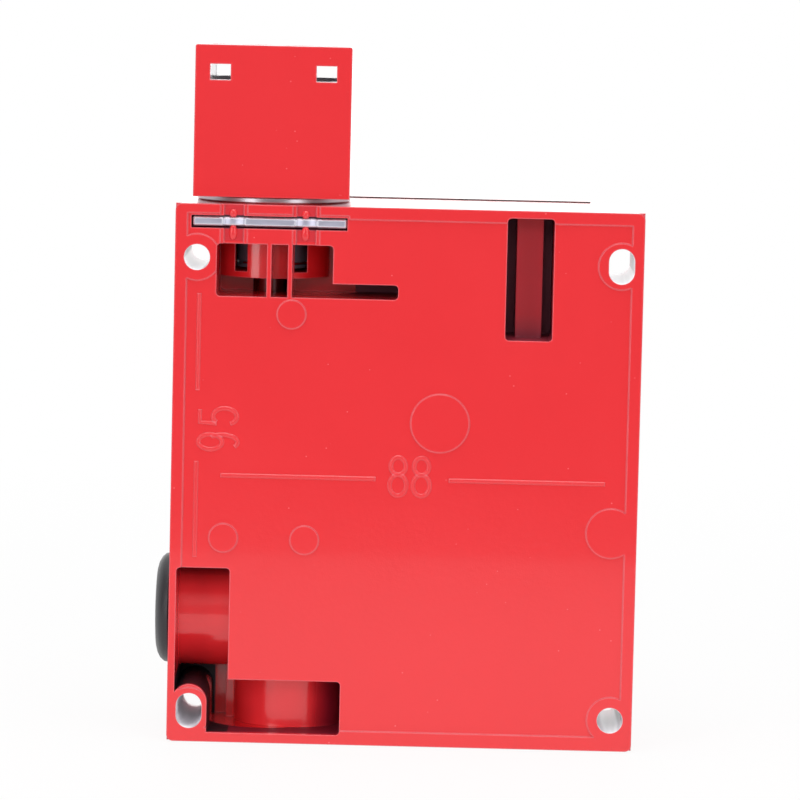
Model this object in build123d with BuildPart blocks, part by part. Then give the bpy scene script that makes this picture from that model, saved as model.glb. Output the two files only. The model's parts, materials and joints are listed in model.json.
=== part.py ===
from build123d import *
from math import cos, hypot, pi, radians, sin
import os

# Tongue interlock switch: die-cast body, turret head with a cam drum, plunger, contact block, locking solenoid.
# Millimetres, +Z up, +X to the right seen from the front, +Y towards the wall that the switch is screwed to.
# The origin is the centre of the four fixing holes, on the rear contact plane. REAR sketches use X and Z, and
# their positive extrusion runs from the wall towards the front, so a depth counts from the rear plane.
REAR = Plane.XZ

# Running, seating and gap clearances
shaft_clearance = 0.06
seat_clearance = 0.1
running_gap = 0.3

# Fixing holes, and how far the body reaches past them
fix_pitch_x = 88.0
fix_pitch_z = 95.0
fix_hole_r = 2.65
fix_slot_length = 7.3
fix_edge_x = 4.6
fix_edge_top = 11.1
fix_edge_bottom = 6.5

# Body casting
body_depth = 35.0
body_corner_r = 1.4
side_wall = 2.5
rear_wall = 3.0
pocket_wall = 2.0
panel_recess = 0.4
rim_width_x = 2.5
rim_width_top = 2.6
rim_width_bottom = 2.9
panel_step_width = 33.5
panel_step_rise = 0.7
land_r = 4.85
corner_post_width = 11.6
corner_post_top = 18.2
corner_post_bottom = 13.4
post_wall = 1.5
fix_seat_depth = 29.0
slot_ring_wall = 1.05
slot_ring_crown = 1.85

# Pads level with the rim on the recessed panel
small_pad_r = 3.0
upper_pad_side = 4.8
upper_pad_drop = 3.5
left_pad_side = 8.5
left_pad_rise = 17.8
right_pad_side = 8.4
right_pad_rise = 17.7
large_pad_r = 6.1
large_pad_x = -7.1
large_pad_z = 14.0
edge_pad_r = 5.2
edge_pad_inset = 5.4
edge_pad_z = -8.2

# Front cover, its seal and its screws
seal_thickness = 1.0
cover_thickness = 8.0
cover_wall = 2.6
cover_front = 2.6
cover_edge = 1.2
cover_screw_r = 2.0
cover_screw_head_r = 3.6
cover_screw_head_height = 2.4
cover_screw_sink = 0.3
cover_screw_length = 16.0
cover_screw_boss_r = 4.2
cover_screw_inset = 5.4
cover_screw_left_inset = 15.6
cover_screw_neck_gap = 21.5
cover_screw_entry_gap = 7.5
cover_screw_right_z = 30.0
cover_screw_left_z = 2.0
cover_screw_end_gap = 1.0
cross_slot_length = 3.6
cross_slot_width = 0.9
cross_slot_depth = 1.2

# Turret head
head_from_side = 19.6
head_depth = 19.5
head_width = 32.5
head_height = 31.5
head_corner_r = 7.0
head_crown_r = 0.5
head_wall = 3.05
head_roof = 3.0
head_floor = 3.2
spigot_r = 11.6
spigot_length = 7.8
spigot_groove_r = 10.1
collar_r = 16.1
collar_height = 1.3
collar_edge = 0.25
tongue_slot_length = 26.2
tongue_slot_height = 3.3
tongue_slot_drop = 5.65
window_width = 4.2

# Retaining clip, its slot and the stepped channels beside its necks
clip_drop = 3.6
clip_thickness = 2.0
clip_left_reach = 15.9
clip_right_reach = 16.0
clip_web = 3.2
clip_prong_width = 3.0
clip_prong_depth = 27.0
clip_neck_offset = 7.5
clip_neck_width = 4.1
clip_neck_depth = 0.8
clip_slot_gap = 0.25
clip_slot_left_reach = 16.3
clip_slot_right_reach = 16.0
clip_slot_above = 1.2
clip_slot_below = 1.4
channel_depth = 1.2
channel_step_depth = 0.6
channel_step = 0.75

# Neck of the body, below the head
neck_r = 12.0
neck_drop = 15.8
neck_floor = 1.3
neck_bore_r = 9.0
neck_window_drop = 8.3
neck_window_outer = 7.5
neck_window_inner = 4.9
neck_hole_gap = 1.0
neck_block_side = 4.0
neck_block_front = 2.2

# Plunger guide, plunger and return spring
guide_r = 7.6
guide_seat_gap = 0.5
guide_length = 13.4
guide_groove_start = 0.6
guide_groove_width = 0.7
guide_groove_depth = 0.5
rod_r = 3.0
rod_length = 54.8
rod_tip_chamfer = 0.5
flag_r = 7.5
plunger_travel = 5.0
return_spring_r = 5.4
return_spring_wire_r = 0.45
return_spring_turns = 5
coil_steps = 16
spring_washer_r = 6.8
spring_washer_thickness = 1.4

# Cam drum in the head
drum_drop = 14.9
drum_r = 9.6
drum_half_width = 8.4
drum_disc_width = 3.8
drum_hub_r = 4.2
notch_width = 7.0
cam_drop = 11.3
cam_half_width = 4.0
cam_lead_deg = 15.0
cam_tail_deg = 22.0
cam_turn_deg = 60.0
cam_steps = 14
axle_r = 2.0

# Locking latch, its bracket and its spring
latch_rise = 7.6
latch_thickness = 3.0
latch_width = 8.0
latch_fork = 6.0
latch_tip_chamfer = 1.0
latch_collar_step = 2.0
latch_collar_thickness = 1.2
latch_lug_width = 3.0
latch_pin_r = 1.0
latch_pin_sink = 0.2
latch_spring_r = 5.2
latch_spring_wire_r = 0.4
latch_spring_turns = 4
latch_spring_room = 8.0
bracket_rise = 5.8
bracket_thickness = 1.6
bracket_left_reach = 13.6
bracket_right_reach = 9.4
bracket_reach = 24.0
bracket_leg_height = 10.2
bracket_hole_inset = 5.0
bracket_hole_drop = 4.0

# Solenoid
coil_r = 10.0
bobbin_flange = 1.5
bobbin_flange_edge = 0.5
bobbin_tube_r = 5.2
armature_r = 4.0
armature_out = 9.0
armature_end_gap = 1.0
yoke_inset = 9.1
yoke_latch_gap = 22.4
yoke_thickness = 2.0
yoke_height = 22.4
yoke_tab = 5.0

# Screws inside the body
inner_screw_r = 1.25
inner_screw_head_r = 2.15
inner_screw_head_height = 1.4
inner_screw_bite = 2.0
driver_slot_length = 3.0
driver_slot_width = 0.6
driver_slot_depth = 0.7

# Cable entries, and the plug of the side entry
entry_depth = 21.0
entry_boss_r = 12.0
entry_bore_r = 9.25
entry_boss_reach = 15.0
side_entry_rise = 25.2
bottom_entry_inset = 25.1
plug_flange_r = 11.7
plug_flange_height = 3.0
plug_rim_height = 1.0
plug_dome_r = 9.5
plug_dome_drop = 0.4
plug_shank_length = 9.0
plug_shank_wall = 2.85
plug_floor = 1.5
plug_seal_thickness = 0.6
plug_seal_inset = 0.6

# Rear pockets of the body
upper_pocket_drop = 8.2
upper_pocket_height = 10.9
upper_pocket_left_reach = 10.9
upper_pocket_right_reach = 13.2
upper_pocket_depth = 19.0
upper_foot_reach = 26.8
upper_foot_height = 3.0
rib_left_reach = 0.05
rib_right_reach = 4.3
pocket_rib = 0.95
side_slot_inset = 18.7
side_slot_width = 9.7
side_slot_drop = 1.6
side_slot_height = 25.4
side_slot_depth = 19.0
side_slot_rib_width = 5.5
side_slot_rib_depth = 9.5
entry_pocket_edge = 1.5
entry_pocket_width = 11.1
entry_pocket_rise = 11.4
entry_pocket_reach = 11.0
entry_pocket_height = 11.2
entry_pocket_floor = 2.0
entry_well_width = 9.9
entry_well_depth = 25.5
pocket_corner_r = 0.8

# Contact block
block_width = 22.0
block_ledge = 4.5
block_drop = 2.1
block_height = 21.6
block_front_depth = 25.5
block_wall = 1.6
block_cover_thickness = 2.0
block_cover_edge = 0.6
contact_rod_side = 4.0
contact_rod_tail = 1.2
bridge_upper_drop = 10.5
bridge_lower_drop = 16.0
bridge_length = 13.0
bridge_width = 3.6
bridge_thickness = 0.8
fixed_contact_thickness = 1.0
contact_tip_r = 1.1
contact_tip_height = 0.7
terminal_drop = 2.2
terminal_screw_r = 1.5
terminal_screw_length = 5.0
terminal_hole_depth = 6.0
terminal_screw_head_r = 1.9
terminal_screw_head_height = 1.6

# Terminal strip of the solenoid and the lights
strip_block_height = 10.0
strip_block_depth = 9.0
strip_way = 5.0
strip_ways = 6
strip_inset = 6.1
strip_rise = 34.0
strip_screw_r = 1.9
strip_screw_drop = 1.0
strip_hole_depth = 4.0
strip_wire_way = 2.8
strip_wire_height = 3.0

# Earth terminal
earth_inset = 28.6
earth_rise = 10.0
earth_washer_side = 9.0
earth_washer_thickness = 1.2
earth_washer_corner = 1.0
earth_head_r = 3.2
earth_head_height = 2.4
earth_slot_length = 5.0

# Release lock on the front cover
lock_r = 9.0
lock_side_reach = 10.4
lock_drop = 22.0
lock_head_r = 10.5
lock_head_height = 2.2
lock_head_edge = 0.6
lock_length = 14.0
lock_rotor_r = 6.5
lock_rotor_sink = 0.4
lock_shaft_r = 2.5
lock_shaft_end = 1.5
lock_nut_wall = 2.5
lock_nut_thickness = 3.0
lock_cam_reach = 21.5
lock_cam_width = 6.0
lock_cam_thickness = 2.0
lock_cam_hub_r = 5.0
key_slot_width = 1.9
key_slot_length = 7.5
key_slot_depth = 9.0
key_centre_r = 2.0

# Pilot lights in the front cover
lens_r = 3.4
lens_inset = 28.6
lens_pitch = 14.0
lens_drop = 18.6
lens_height = 1.2
lens_edge = 0.5
lens_flange = 0.8
lens_flange_thickness = 1.0
lamp_r = 1.5
lamp_height = 3.2
board_thickness = 1.6
board_post_r = 2.0
board_post_offset = 13.5
board_width = 30.0
board_height = 15.0

# Outline of the body and the cavity, worked out from the driving values
fix_x = fix_pitch_x / 2
fix_z = fix_pitch_z / 2
body_right_x = fix_x + fix_edge_x
body_left_x = -body_right_x
body_width = body_right_x - body_left_x
body_top = fix_z + fix_edge_top
body_bottom = -fix_z - fix_edge_bottom
body_mid_z = (body_top + body_bottom) / 2
body_height = body_top - body_bottom
cover_back_depth = body_depth + seal_thickness
total_depth = cover_back_depth + cover_thickness
cavity_left = body_left_x + side_wall
cavity_right = body_right_x - side_wall
cavity_top = body_top - side_wall
cavity_bottom = body_bottom + side_wall

# Places of the head and of what lies on its axis
head_x = body_right_x - head_from_side
head_bottom = body_top + collar_height
head_top = head_bottom + head_height
tongue_slot_z = head_top - tongue_slot_drop
drum_z = head_top - drum_drop
spigot_bottom = body_top - spigot_length
clip_z = body_top - clip_drop
neck_bottom = body_top - neck_drop
neck_lip_top = neck_bottom + neck_floor
neck_window_z = body_top - neck_window_drop
guide_bottom = neck_lip_top + guide_seat_gap
guide_top = guide_bottom + guide_length
rod_top = drum_z - cam_drop
rod_ball_z = rod_top - rod_r
rod_bottom = rod_top - rod_length
latch_z = rod_bottom + latch_rise
bracket_z = latch_z + bracket_rise
bracket_leg_top = bracket_z + bracket_leg_height
bracket_left = head_x - bracket_left_reach
bracket_right = head_x + bracket_right_reach
travel_per_radian = plunger_travel / radians(cam_turn_deg)
flag_thickness = plunger_travel - latch_thickness - 2 * running_gap
flag_top = latch_z - latch_thickness / 2 - running_gap

# Solenoid and latch, between the left wall and the plunger
yoke_left = cavity_left + yoke_inset
yoke_right = bracket_left - yoke_latch_gap
yoke_front_depth = head_depth + yoke_height / 2
coil_length = yoke_right - yoke_left - 2 * yoke_thickness
armature_right = yoke_right + armature_out
latch_left = armature_right - latch_fork
latch_right = head_x - flag_r - running_gap
latch_collar_x = bracket_left - latch_spring_room

# Rear pockets
upper_pocket_top = body_top - upper_pocket_drop
upper_pocket_bottom = upper_pocket_top - upper_pocket_height
upper_pocket_left = head_x + upper_pocket_left_reach
upper_pocket_right = head_x - upper_pocket_right_reach
upper_foot_right = head_x - upper_foot_reach
upper_foot_top = upper_pocket_bottom + upper_foot_height
rib_left_x = head_x + rib_left_reach
rib_right_x = head_x - rib_right_reach
clip_left = head_x - clip_left_reach
clip_right = head_x + clip_right_reach
clip_slot_left = head_x + clip_slot_left_reach
clip_slot_right = head_x - clip_slot_right_reach
clip_slot_top = clip_z + clip_slot_above
clip_slot_bottom = clip_z - clip_slot_below
side_slot_right = body_left_x + side_slot_inset
side_slot_left = side_slot_right + side_slot_width
side_slot_top = body_top - side_slot_drop
side_slot_bottom = side_slot_top - side_slot_height
side_entry_z = body_bottom + side_entry_rise
bottom_entry_x = body_right_x - bottom_entry_inset
entry_pocket_left = body_right_x - entry_pocket_edge
entry_pocket_right = bottom_entry_x - entry_pocket_reach
entry_pocket_top = side_entry_z + entry_pocket_rise
entry_pocket_bottom = body_bottom + entry_pocket_floor
entry_pocket_inner_x = entry_pocket_left - entry_pocket_width
entry_pocket_inner_z = entry_pocket_bottom + entry_pocket_height
entry_well_right = entry_pocket_left - entry_well_width
panel_step_right = cavity_right - panel_step_width
panel_step_top = body_top - rim_width_top + panel_step_rise
neck_block_bottom = upper_pocket_bottom - pocket_wall
neck_block_depth = head_depth + spigot_r + neck_block_front
neck_block_left = head_x - spigot_r - neck_block_side
neck_block_right = clip_slot_left + pocket_wall
spring_washer_top = neck_block_bottom - plunger_travel - running_gap

# Contact block
contact_rod_top = rod_bottom - running_gap
block_top = contact_rod_top - block_drop
block_bottom = block_top - block_height
block_mid_z = (block_top + block_bottom) / 2
terminal_x = block_width / 2 + block_ledge / 2
ledge_depth = head_depth + fixed_contact_thickness / 2
cavity_half_width = block_width / 2 - block_wall
bridge_upper_z = block_top - bridge_upper_drop
bridge_lower_z = block_top - bridge_lower_drop
contact_rod_bottom = bridge_lower_z - bridge_thickness / 2 - contact_rod_tail
tip_x = bridge_length / 2 - contact_tip_r
strip_half_width = bridge_width / 2
upper_strip_z = bridge_upper_z + bridge_thickness / 2 + plunger_travel + running_gap + 2 * contact_tip_height
lower_tip_z = bridge_lower_z - bridge_thickness / 2 - running_gap - 2 * contact_tip_height
lower_strip_z = lower_tip_z - fixed_contact_thickness
strip_reach = block_width / 2 + block_ledge
strip_inner_x = tip_x - contact_tip_r - running_gap
strips = [(side, base) for side in (-1, 1) for base in (upper_strip_z, lower_strip_z)]
terminals = []
for side in (-1, 1):
    terminals.append((head_x + side * terminal_x, upper_strip_z - terminal_drop))
    terminals.append((head_x + side * terminal_x, lower_strip_z + fixed_contact_thickness + terminal_drop))

# Release lock, pilot lights, terminal strip and earth terminal
lock_x = bracket_left - lock_side_reach
lock_z = latch_z - lock_drop
lock_back_depth = total_depth - lock_length
lens_x = body_left_x + lens_inset
lens_z = body_top - lens_drop
lens_back_depth = total_depth - cover_front
lens_places = [(lens_x - lens_pitch / 2, lens_z), (lens_x + lens_pitch / 2, lens_z)]
board_posts = [(lens_x - board_post_offset, lens_z), (lens_x + board_post_offset, lens_z)]
strip_left = cavity_left + strip_inset
strip_mid_z = body_bottom + strip_rise
way_places = [(strip_left + strip_way * (way + 0.5), strip_mid_z) for way in range(strip_ways)]
earth_x = body_left_x + earth_inset
earth_z = body_bottom + earth_rise

# Screws of the cover, and screws that hold the inner pieces on the rear wall with the depth of their seats
cover_screw_places = [
    (body_left_x + cover_screw_left_inset, body_top - cover_screw_inset),
    (head_x - cover_screw_neck_gap, body_top - cover_screw_inset),
    (body_right_x - cover_screw_inset, cover_screw_right_z),
    (body_left_x + cover_screw_inset, cover_screw_left_z),
    (entry_pocket_right - cover_screw_entry_gap, body_bottom + cover_screw_inset),
    (body_left_x + cover_screw_left_inset, body_bottom + cover_screw_inset),
]
inner_screws = [
    (bracket_left + bracket_hole_inset, bracket_leg_top - bracket_hole_drop, rear_wall + bracket_thickness),
    (bracket_right - bracket_hole_inset, bracket_leg_top - bracket_hole_drop, rear_wall + bracket_thickness),
    (yoke_left - yoke_tab / 2, latch_z, rear_wall + yoke_thickness),
    (yoke_right + yoke_tab / 2, latch_z, rear_wall + yoke_thickness),
    (head_x - terminal_x, block_mid_z, ledge_depth),
    (head_x + terminal_x, block_mid_z, ledge_depth),
]

# Places and radii of the pads on the recessed panel
panel_pads = [
    (head_x - upper_pad_side, upper_pocket_bottom - upper_pad_drop, small_pad_r),
    (head_x + left_pad_side, side_entry_z + left_pad_rise, small_pad_r),
    (head_x - right_pad_side, side_entry_z + right_pad_rise, small_pad_r),
    (large_pad_x, large_pad_z, large_pad_r),
    (body_left_x + edge_pad_inset, edge_pad_z, edge_pad_r),
]

os.makedirs("parts", exist_ok=True)


def middle(a, b):
    return (a + b) / 2


def save(piece, name):
    piece.part.label = name
    export_step(piece.part, f"parts/{name}.step")


# Corner posts: one for each fixing hole, as centre x, centre z, width and height of the block
corner_posts = []
corner_notches = []
for side_x in (-1, 1):
    for edge_z, post_height in ((body_top, corner_post_top), (body_bottom, corner_post_bottom)):
        side_z = 1 if edge_z > 0 else -1
        post_x = side_x * (body_width - corner_post_width) / 2
        post_z = edge_z - side_z * post_height / 2
        corner_posts.append((post_x, post_z, corner_post_width, post_height))
        corner_notches.append((post_x + side_x * post_wall / 2, post_z + side_z * post_wall / 2,
                               corner_post_width - post_wall, post_height - post_wall))

# Blocks inside the casting that carry the rear pockets: left edge, right edge, bottom, top and depth
pocket_blocks = [
    (neck_block_left, cavity_right, neck_block_bottom, body_top, neck_block_depth),
    (upper_foot_right - pocket_wall, neck_block_right, neck_block_bottom, upper_foot_top + pocket_wall,
     upper_pocket_depth + pocket_wall),
    (side_slot_right - pocket_wall, side_slot_left + pocket_wall, side_slot_bottom - pocket_wall, body_top,
     side_slot_depth + pocket_wall),
    (entry_pocket_inner_x - pocket_wall, cavity_right, entry_pocket_bottom, entry_pocket_top + pocket_wall,
     entry_depth + pocket_wall),
    (entry_pocket_right - pocket_wall, entry_pocket_left, cavity_bottom, entry_pocket_inner_z + pocket_wall,
     entry_depth + pocket_wall),
    (entry_well_right - pocket_wall, cavity_right, cavity_bottom, entry_pocket_inner_z + pocket_wall,
     entry_well_depth + pocket_wall),
]

# Body casting: outer box, open front, pocket blocks, entry bosses, neck, then the rear relief
with BuildPart() as body_casting:
    with BuildSketch(REAR):
        with Locations((0, body_mid_z)):
            RectangleRounded(body_width, body_height, body_corner_r)
    extrude(amount=body_depth)
    with BuildSketch(REAR.offset(rear_wall)):
        with Locations((0, middle(cavity_top, cavity_bottom))):
            RectangleRounded(cavity_right - cavity_left, cavity_top - cavity_bottom, body_corner_r)
    extrude(amount=body_depth - rear_wall, mode=Mode.SUBTRACT)
    for left, right, bottom, top, depth in pocket_blocks:
        with BuildSketch(REAR.offset(rear_wall / 2)):
            with Locations((middle(left, right), middle(bottom, top))):
                Rectangle(right - left, top - bottom)
        extrude(amount=depth - rear_wall / 2)
    with BuildSketch(REAR.offset(rear_wall / 2)):
        for post_x, post_z, post_width, post_height in corner_posts:
            with Locations((post_x, post_z)):
                Rectangle(post_width, post_height)
        with Locations(*cover_screw_places):
            Circle(cover_screw_boss_r)
    extrude(amount=body_depth - rear_wall / 2)
    with BuildSketch(Plane.YZ.offset(body_right_x - entry_boss_reach)):
        with Locations((-entry_depth, side_entry_z)):
            Circle(entry_boss_r)
    extrude(amount=entry_boss_reach)
    with BuildSketch(Plane.XY.offset(body_bottom)):
        with Locations((bottom_entry_x, -entry_depth)):
            Circle(entry_boss_r)
    extrude(amount=entry_boss_reach)

    # Corner notches that let a screwdriver reach the fixing screws from the front
    with BuildSketch(REAR.offset(fix_seat_depth)):
        for notch_x, notch_z, notch_width, notch_height in corner_notches:
            with Locations((notch_x, notch_z)):
                Rectangle(notch_width, notch_height)
    extrude(amount=body_depth - fix_seat_depth, mode=Mode.SUBTRACT)
    with BuildSketch(REAR):
        with Locations((fix_x, fix_z), (-fix_x, -fix_z)):
            Circle(fix_hole_r)
        with Locations((-fix_x, fix_z), (fix_x, -fix_z)):
            SlotOverall(fix_slot_length, 2 * fix_hole_r, rotation=90)
    extrude(amount=body_depth, mode=Mode.SUBTRACT)

    # Neck: bore for the head spigot, chamber round the plunger guide, hole for the plunger
    with BuildSketch(Plane.XY.offset(spigot_bottom - seat_clearance)):
        with Locations((head_x, -head_depth)):
            Circle(spigot_r + shaft_clearance)
    extrude(amount=body_top - spigot_bottom + 2 * seat_clearance, mode=Mode.SUBTRACT)
    with BuildSketch(Plane.XY.offset(neck_lip_top)):
        with Locations((head_x, -head_depth)):
            Circle(neck_bore_r)
    extrude(amount=body_top - neck_lip_top, mode=Mode.SUBTRACT)
    with BuildSketch(Plane.XY.offset(neck_block_bottom)):
        with Locations((head_x, -head_depth)):
            Circle(rod_r + neck_hole_gap)
    extrude(amount=neck_lip_top - neck_block_bottom, mode=Mode.SUBTRACT)

    # Upper pockets behind the neck, with the neck boss and two ribs left standing
    with BuildSketch(REAR):
        with Locations((middle(upper_pocket_left, upper_pocket_right),
                        middle(upper_pocket_top, upper_pocket_bottom))):
            RectangleRounded(upper_pocket_left - upper_pocket_right, upper_pocket_top - upper_pocket_bottom,
                             pocket_corner_r)
        with Locations((middle(rib_right_x, upper_foot_right), middle(upper_foot_top, upper_pocket_bottom))):
            RectangleRounded(rib_right_x - upper_foot_right, upper_foot_top - upper_pocket_bottom,
                             pocket_corner_r)
        with Locations((rib_left_x, middle(upper_pocket_top, upper_pocket_bottom)),
                       (rib_right_x, middle(upper_pocket_top, upper_pocket_bottom))):
            Rectangle(pocket_rib, upper_pocket_top - upper_pocket_bottom, mode=Mode.SUBTRACT)
    extrude(amount=upper_pocket_depth, mode=Mode.SUBTRACT)
    with BuildSketch(Plane.XY.offset(neck_bottom)):
        with Locations((head_x, -head_depth)):
            Circle(neck_r)
            Circle(neck_bore_r, mode=Mode.SUBTRACT)
    extrude(amount=upper_pocket_top - neck_bottom)
    with BuildSketch(Plane.XY.offset(neck_bottom)):
        with Locations((head_x, -head_depth)):
            Circle(neck_r)
            Circle(rod_r + neck_hole_gap, mode=Mode.SUBTRACT)
    extrude(amount=neck_lip_top - neck_bottom)
    with BuildSketch(REAR):
        for side_x in (-1, 1):
            with Locations((head_x + side_x * middle(neck_window_outer, neck_window_inner),
                            middle(neck_lip_top, neck_window_z))):
                Rectangle(neck_window_outer - neck_window_inner, neck_window_z - neck_lip_top)
    extrude(amount=head_depth - guide_r / 2, mode=Mode.SUBTRACT)
    with BuildSketch(REAR):
        with Locations((middle(rib_left_x, rib_right_x), middle(neck_bottom, upper_pocket_bottom))):
            Rectangle(rib_left_x - rib_right_x - pocket_rib, neck_bottom - upper_pocket_bottom)
    extrude(amount=neck_block_depth, mode=Mode.SUBTRACT)

    # Side slot with its flat rib
    with BuildSketch(REAR):
        with Locations((middle(side_slot_left, side_slot_right), middle(side_slot_top, side_slot_bottom))):
            RectangleRounded(side_slot_left - side_slot_right, side_slot_top - side_slot_bottom,
                             pocket_corner_r)
    extrude(amount=side_slot_depth, mode=Mode.SUBTRACT)
    with BuildSketch(REAR.offset(side_slot_rib_depth)):
        with Locations((middle(side_slot_left, side_slot_right), middle(side_slot_top, side_slot_bottom))):
            Rectangle(side_slot_rib_width, side_slot_top - side_slot_bottom + pocket_wall)
    extrude(amount=side_slot_depth - side_slot_rib_depth + pocket_wall / 2)

    # Pocket behind the two cable entries, with the bosses and the ring of the slotted hole left standing
    slot_ring_left = fix_x - fix_hole_r - slot_ring_wall
    entry_well_top = side_entry_z - entry_boss_r
    slot_ring_mid_z = -fix_z + fix_slot_length / 2 + slot_ring_crown - fix_hole_r - slot_ring_wall
    with BuildSketch(REAR):
        with Locations((middle(entry_pocket_left, entry_pocket_inner_x),
                        middle(entry_pocket_top, entry_pocket_bottom))):
            RectangleRounded(entry_pocket_left - entry_pocket_inner_x, entry_pocket_top - entry_pocket_bottom,
                             pocket_corner_r)
        with Locations((middle(entry_pocket_left, entry_pocket_right),
                        middle(entry_pocket_inner_z, entry_pocket_bottom))):
            RectangleRounded(entry_pocket_left - entry_pocket_right, entry_pocket_inner_z - entry_pocket_bottom,
                             pocket_corner_r)
        with Locations((middle(slot_ring_left, body_right_x), middle(slot_ring_mid_z, body_bottom))):
            Rectangle(body_right_x - slot_ring_left, slot_ring_mid_z - body_bottom, mode=Mode.SUBTRACT)
        with Locations((fix_x, slot_ring_mid_z)):
            Circle(fix_x - slot_ring_left, mode=Mode.SUBTRACT)
    extrude(amount=entry_depth, mode=Mode.SUBTRACT)
    with BuildSketch(Plane.YZ.offset(entry_pocket_inner_x)):
        with Locations((-entry_depth, side_entry_z)):
            Circle(entry_boss_r)
    extrude(amount=body_right_x - entry_pocket_inner_x)
    with BuildSketch(Plane.XY.offset(entry_pocket_bottom)):
        with Locations((bottom_entry_x, -entry_depth)):
            Circle(entry_boss_r)
    extrude(amount=entry_pocket_inner_z - entry_pocket_bottom)
    with BuildSketch(REAR):
        with Locations((middle(entry_pocket_left, entry_well_right),
                        middle(entry_well_top, entry_pocket_bottom))):
            Rectangle(entry_pocket_left - entry_well_right, entry_well_top - entry_pocket_bottom)
        with Locations((middle(slot_ring_left, body_right_x), middle(slot_ring_mid_z, body_bottom))):
            Rectangle(body_right_x - slot_ring_left, slot_ring_mid_z - body_bottom, mode=Mode.SUBTRACT)
        with Locations((fix_x, slot_ring_mid_z)):
            Circle(fix_x - slot_ring_left, mode=Mode.SUBTRACT)
    extrude(amount=entry_well_depth, mode=Mode.SUBTRACT)
    with BuildSketch(Plane.YZ.offset(body_right_x - entry_boss_reach)):
        with Locations((-entry_depth, side_entry_z)):
            Circle(entry_bore_r)
    extrude(amount=entry_boss_reach, mode=Mode.SUBTRACT)
    with BuildSketch(Plane.XY.offset(body_bottom)):
        with Locations((bottom_entry_x, -entry_depth)):
            Circle(entry_bore_r)
    extrude(amount=entry_boss_reach, mode=Mode.SUBTRACT)

    # Slot for the clip, from the rear, with a way for each prong, and the stepped channels beside it
    with BuildSketch(REAR):
        with Locations((middle(clip_slot_left, clip_slot_right), middle(clip_slot_top, clip_slot_bottom))):
            Rectangle(clip_slot_left - clip_slot_right, clip_slot_top - clip_slot_bottom)
    extrude(amount=panel_recess + clip_web + clip_slot_gap, mode=Mode.SUBTRACT)
    with BuildSketch(REAR):
        for side_x in (-1, 1):
            with Locations((head_x + side_x * (spigot_groove_r + running_gap + clip_prong_width / 2), clip_z)):
                Rectangle(clip_prong_width + clip_slot_gap, clip_thickness + clip_slot_gap)
    extrude(amount=panel_recess + clip_web + clip_prong_depth + clip_slot_gap, mode=Mode.SUBTRACT)
    with BuildSketch(REAR):
        for side_x in (-1, 1):
            with Locations((head_x + side_x * clip_neck_offset, middle(body_top, upper_pocket_top))):
                Rectangle(clip_neck_width + 2 * channel_step, body_top - upper_pocket_top)
    extrude(amount=channel_step_depth, mode=Mode.SUBTRACT)
    with BuildSketch(REAR):
        for side_x in (-1, 1):
            with Locations((head_x + side_x * clip_neck_offset, middle(body_top, upper_pocket_top))):
                Rectangle(clip_neck_width, body_top - upper_pocket_top)
    extrude(amount=channel_depth, mode=Mode.SUBTRACT)

    # Recessed rear panel inside the rim, with lands round the fixing holes and round pads
    with BuildSketch(REAR):
        with Locations((0, middle(body_top - rim_width_top, body_bottom + rim_width_bottom))):
            Rectangle(body_width - 2 * rim_width_x, body_height - rim_width_top - rim_width_bottom)
        with Locations((middle(body_right_x - rim_width_x, panel_step_right),
                        middle(panel_step_top, clip_slot_bottom))):
            Rectangle(body_right_x - rim_width_x - panel_step_right, panel_step_top - clip_slot_bottom)
        with Locations((fix_x, fix_z), (-fix_x, fix_z), (-fix_x, -fix_z), (fix_x, -fix_z)):
            Circle(land_r, mode=Mode.SUBTRACT)
        for pad_x, pad_z, pad_r in panel_pads:
            with Locations((pad_x, pad_z)):
                Circle(pad_r, mode=Mode.SUBTRACT)
    extrude(amount=panel_recess, mode=Mode.SUBTRACT)

    # Blind holes in the rear wall for the inner screws and the earth screw
    with BuildSketch(REAR.offset(rear_wall)):
        with Locations(*[(screw_x, screw_z) for screw_x, screw_z, _ in inner_screws], (earth_x, earth_z)):
            Circle(inner_screw_r)
    extrude(amount=-inner_screw_bite, mode=Mode.SUBTRACT)

    # Threaded seats of the cover screws
    with BuildSketch(REAR.offset(body_depth)):
        with Locations(*cover_screw_places):
            Circle(cover_screw_r + shaft_clearance)
    extrude(amount=-(cover_screw_length - cover_thickness), mode=Mode.SUBTRACT)
save(body_casting, "body_casting")

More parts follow.
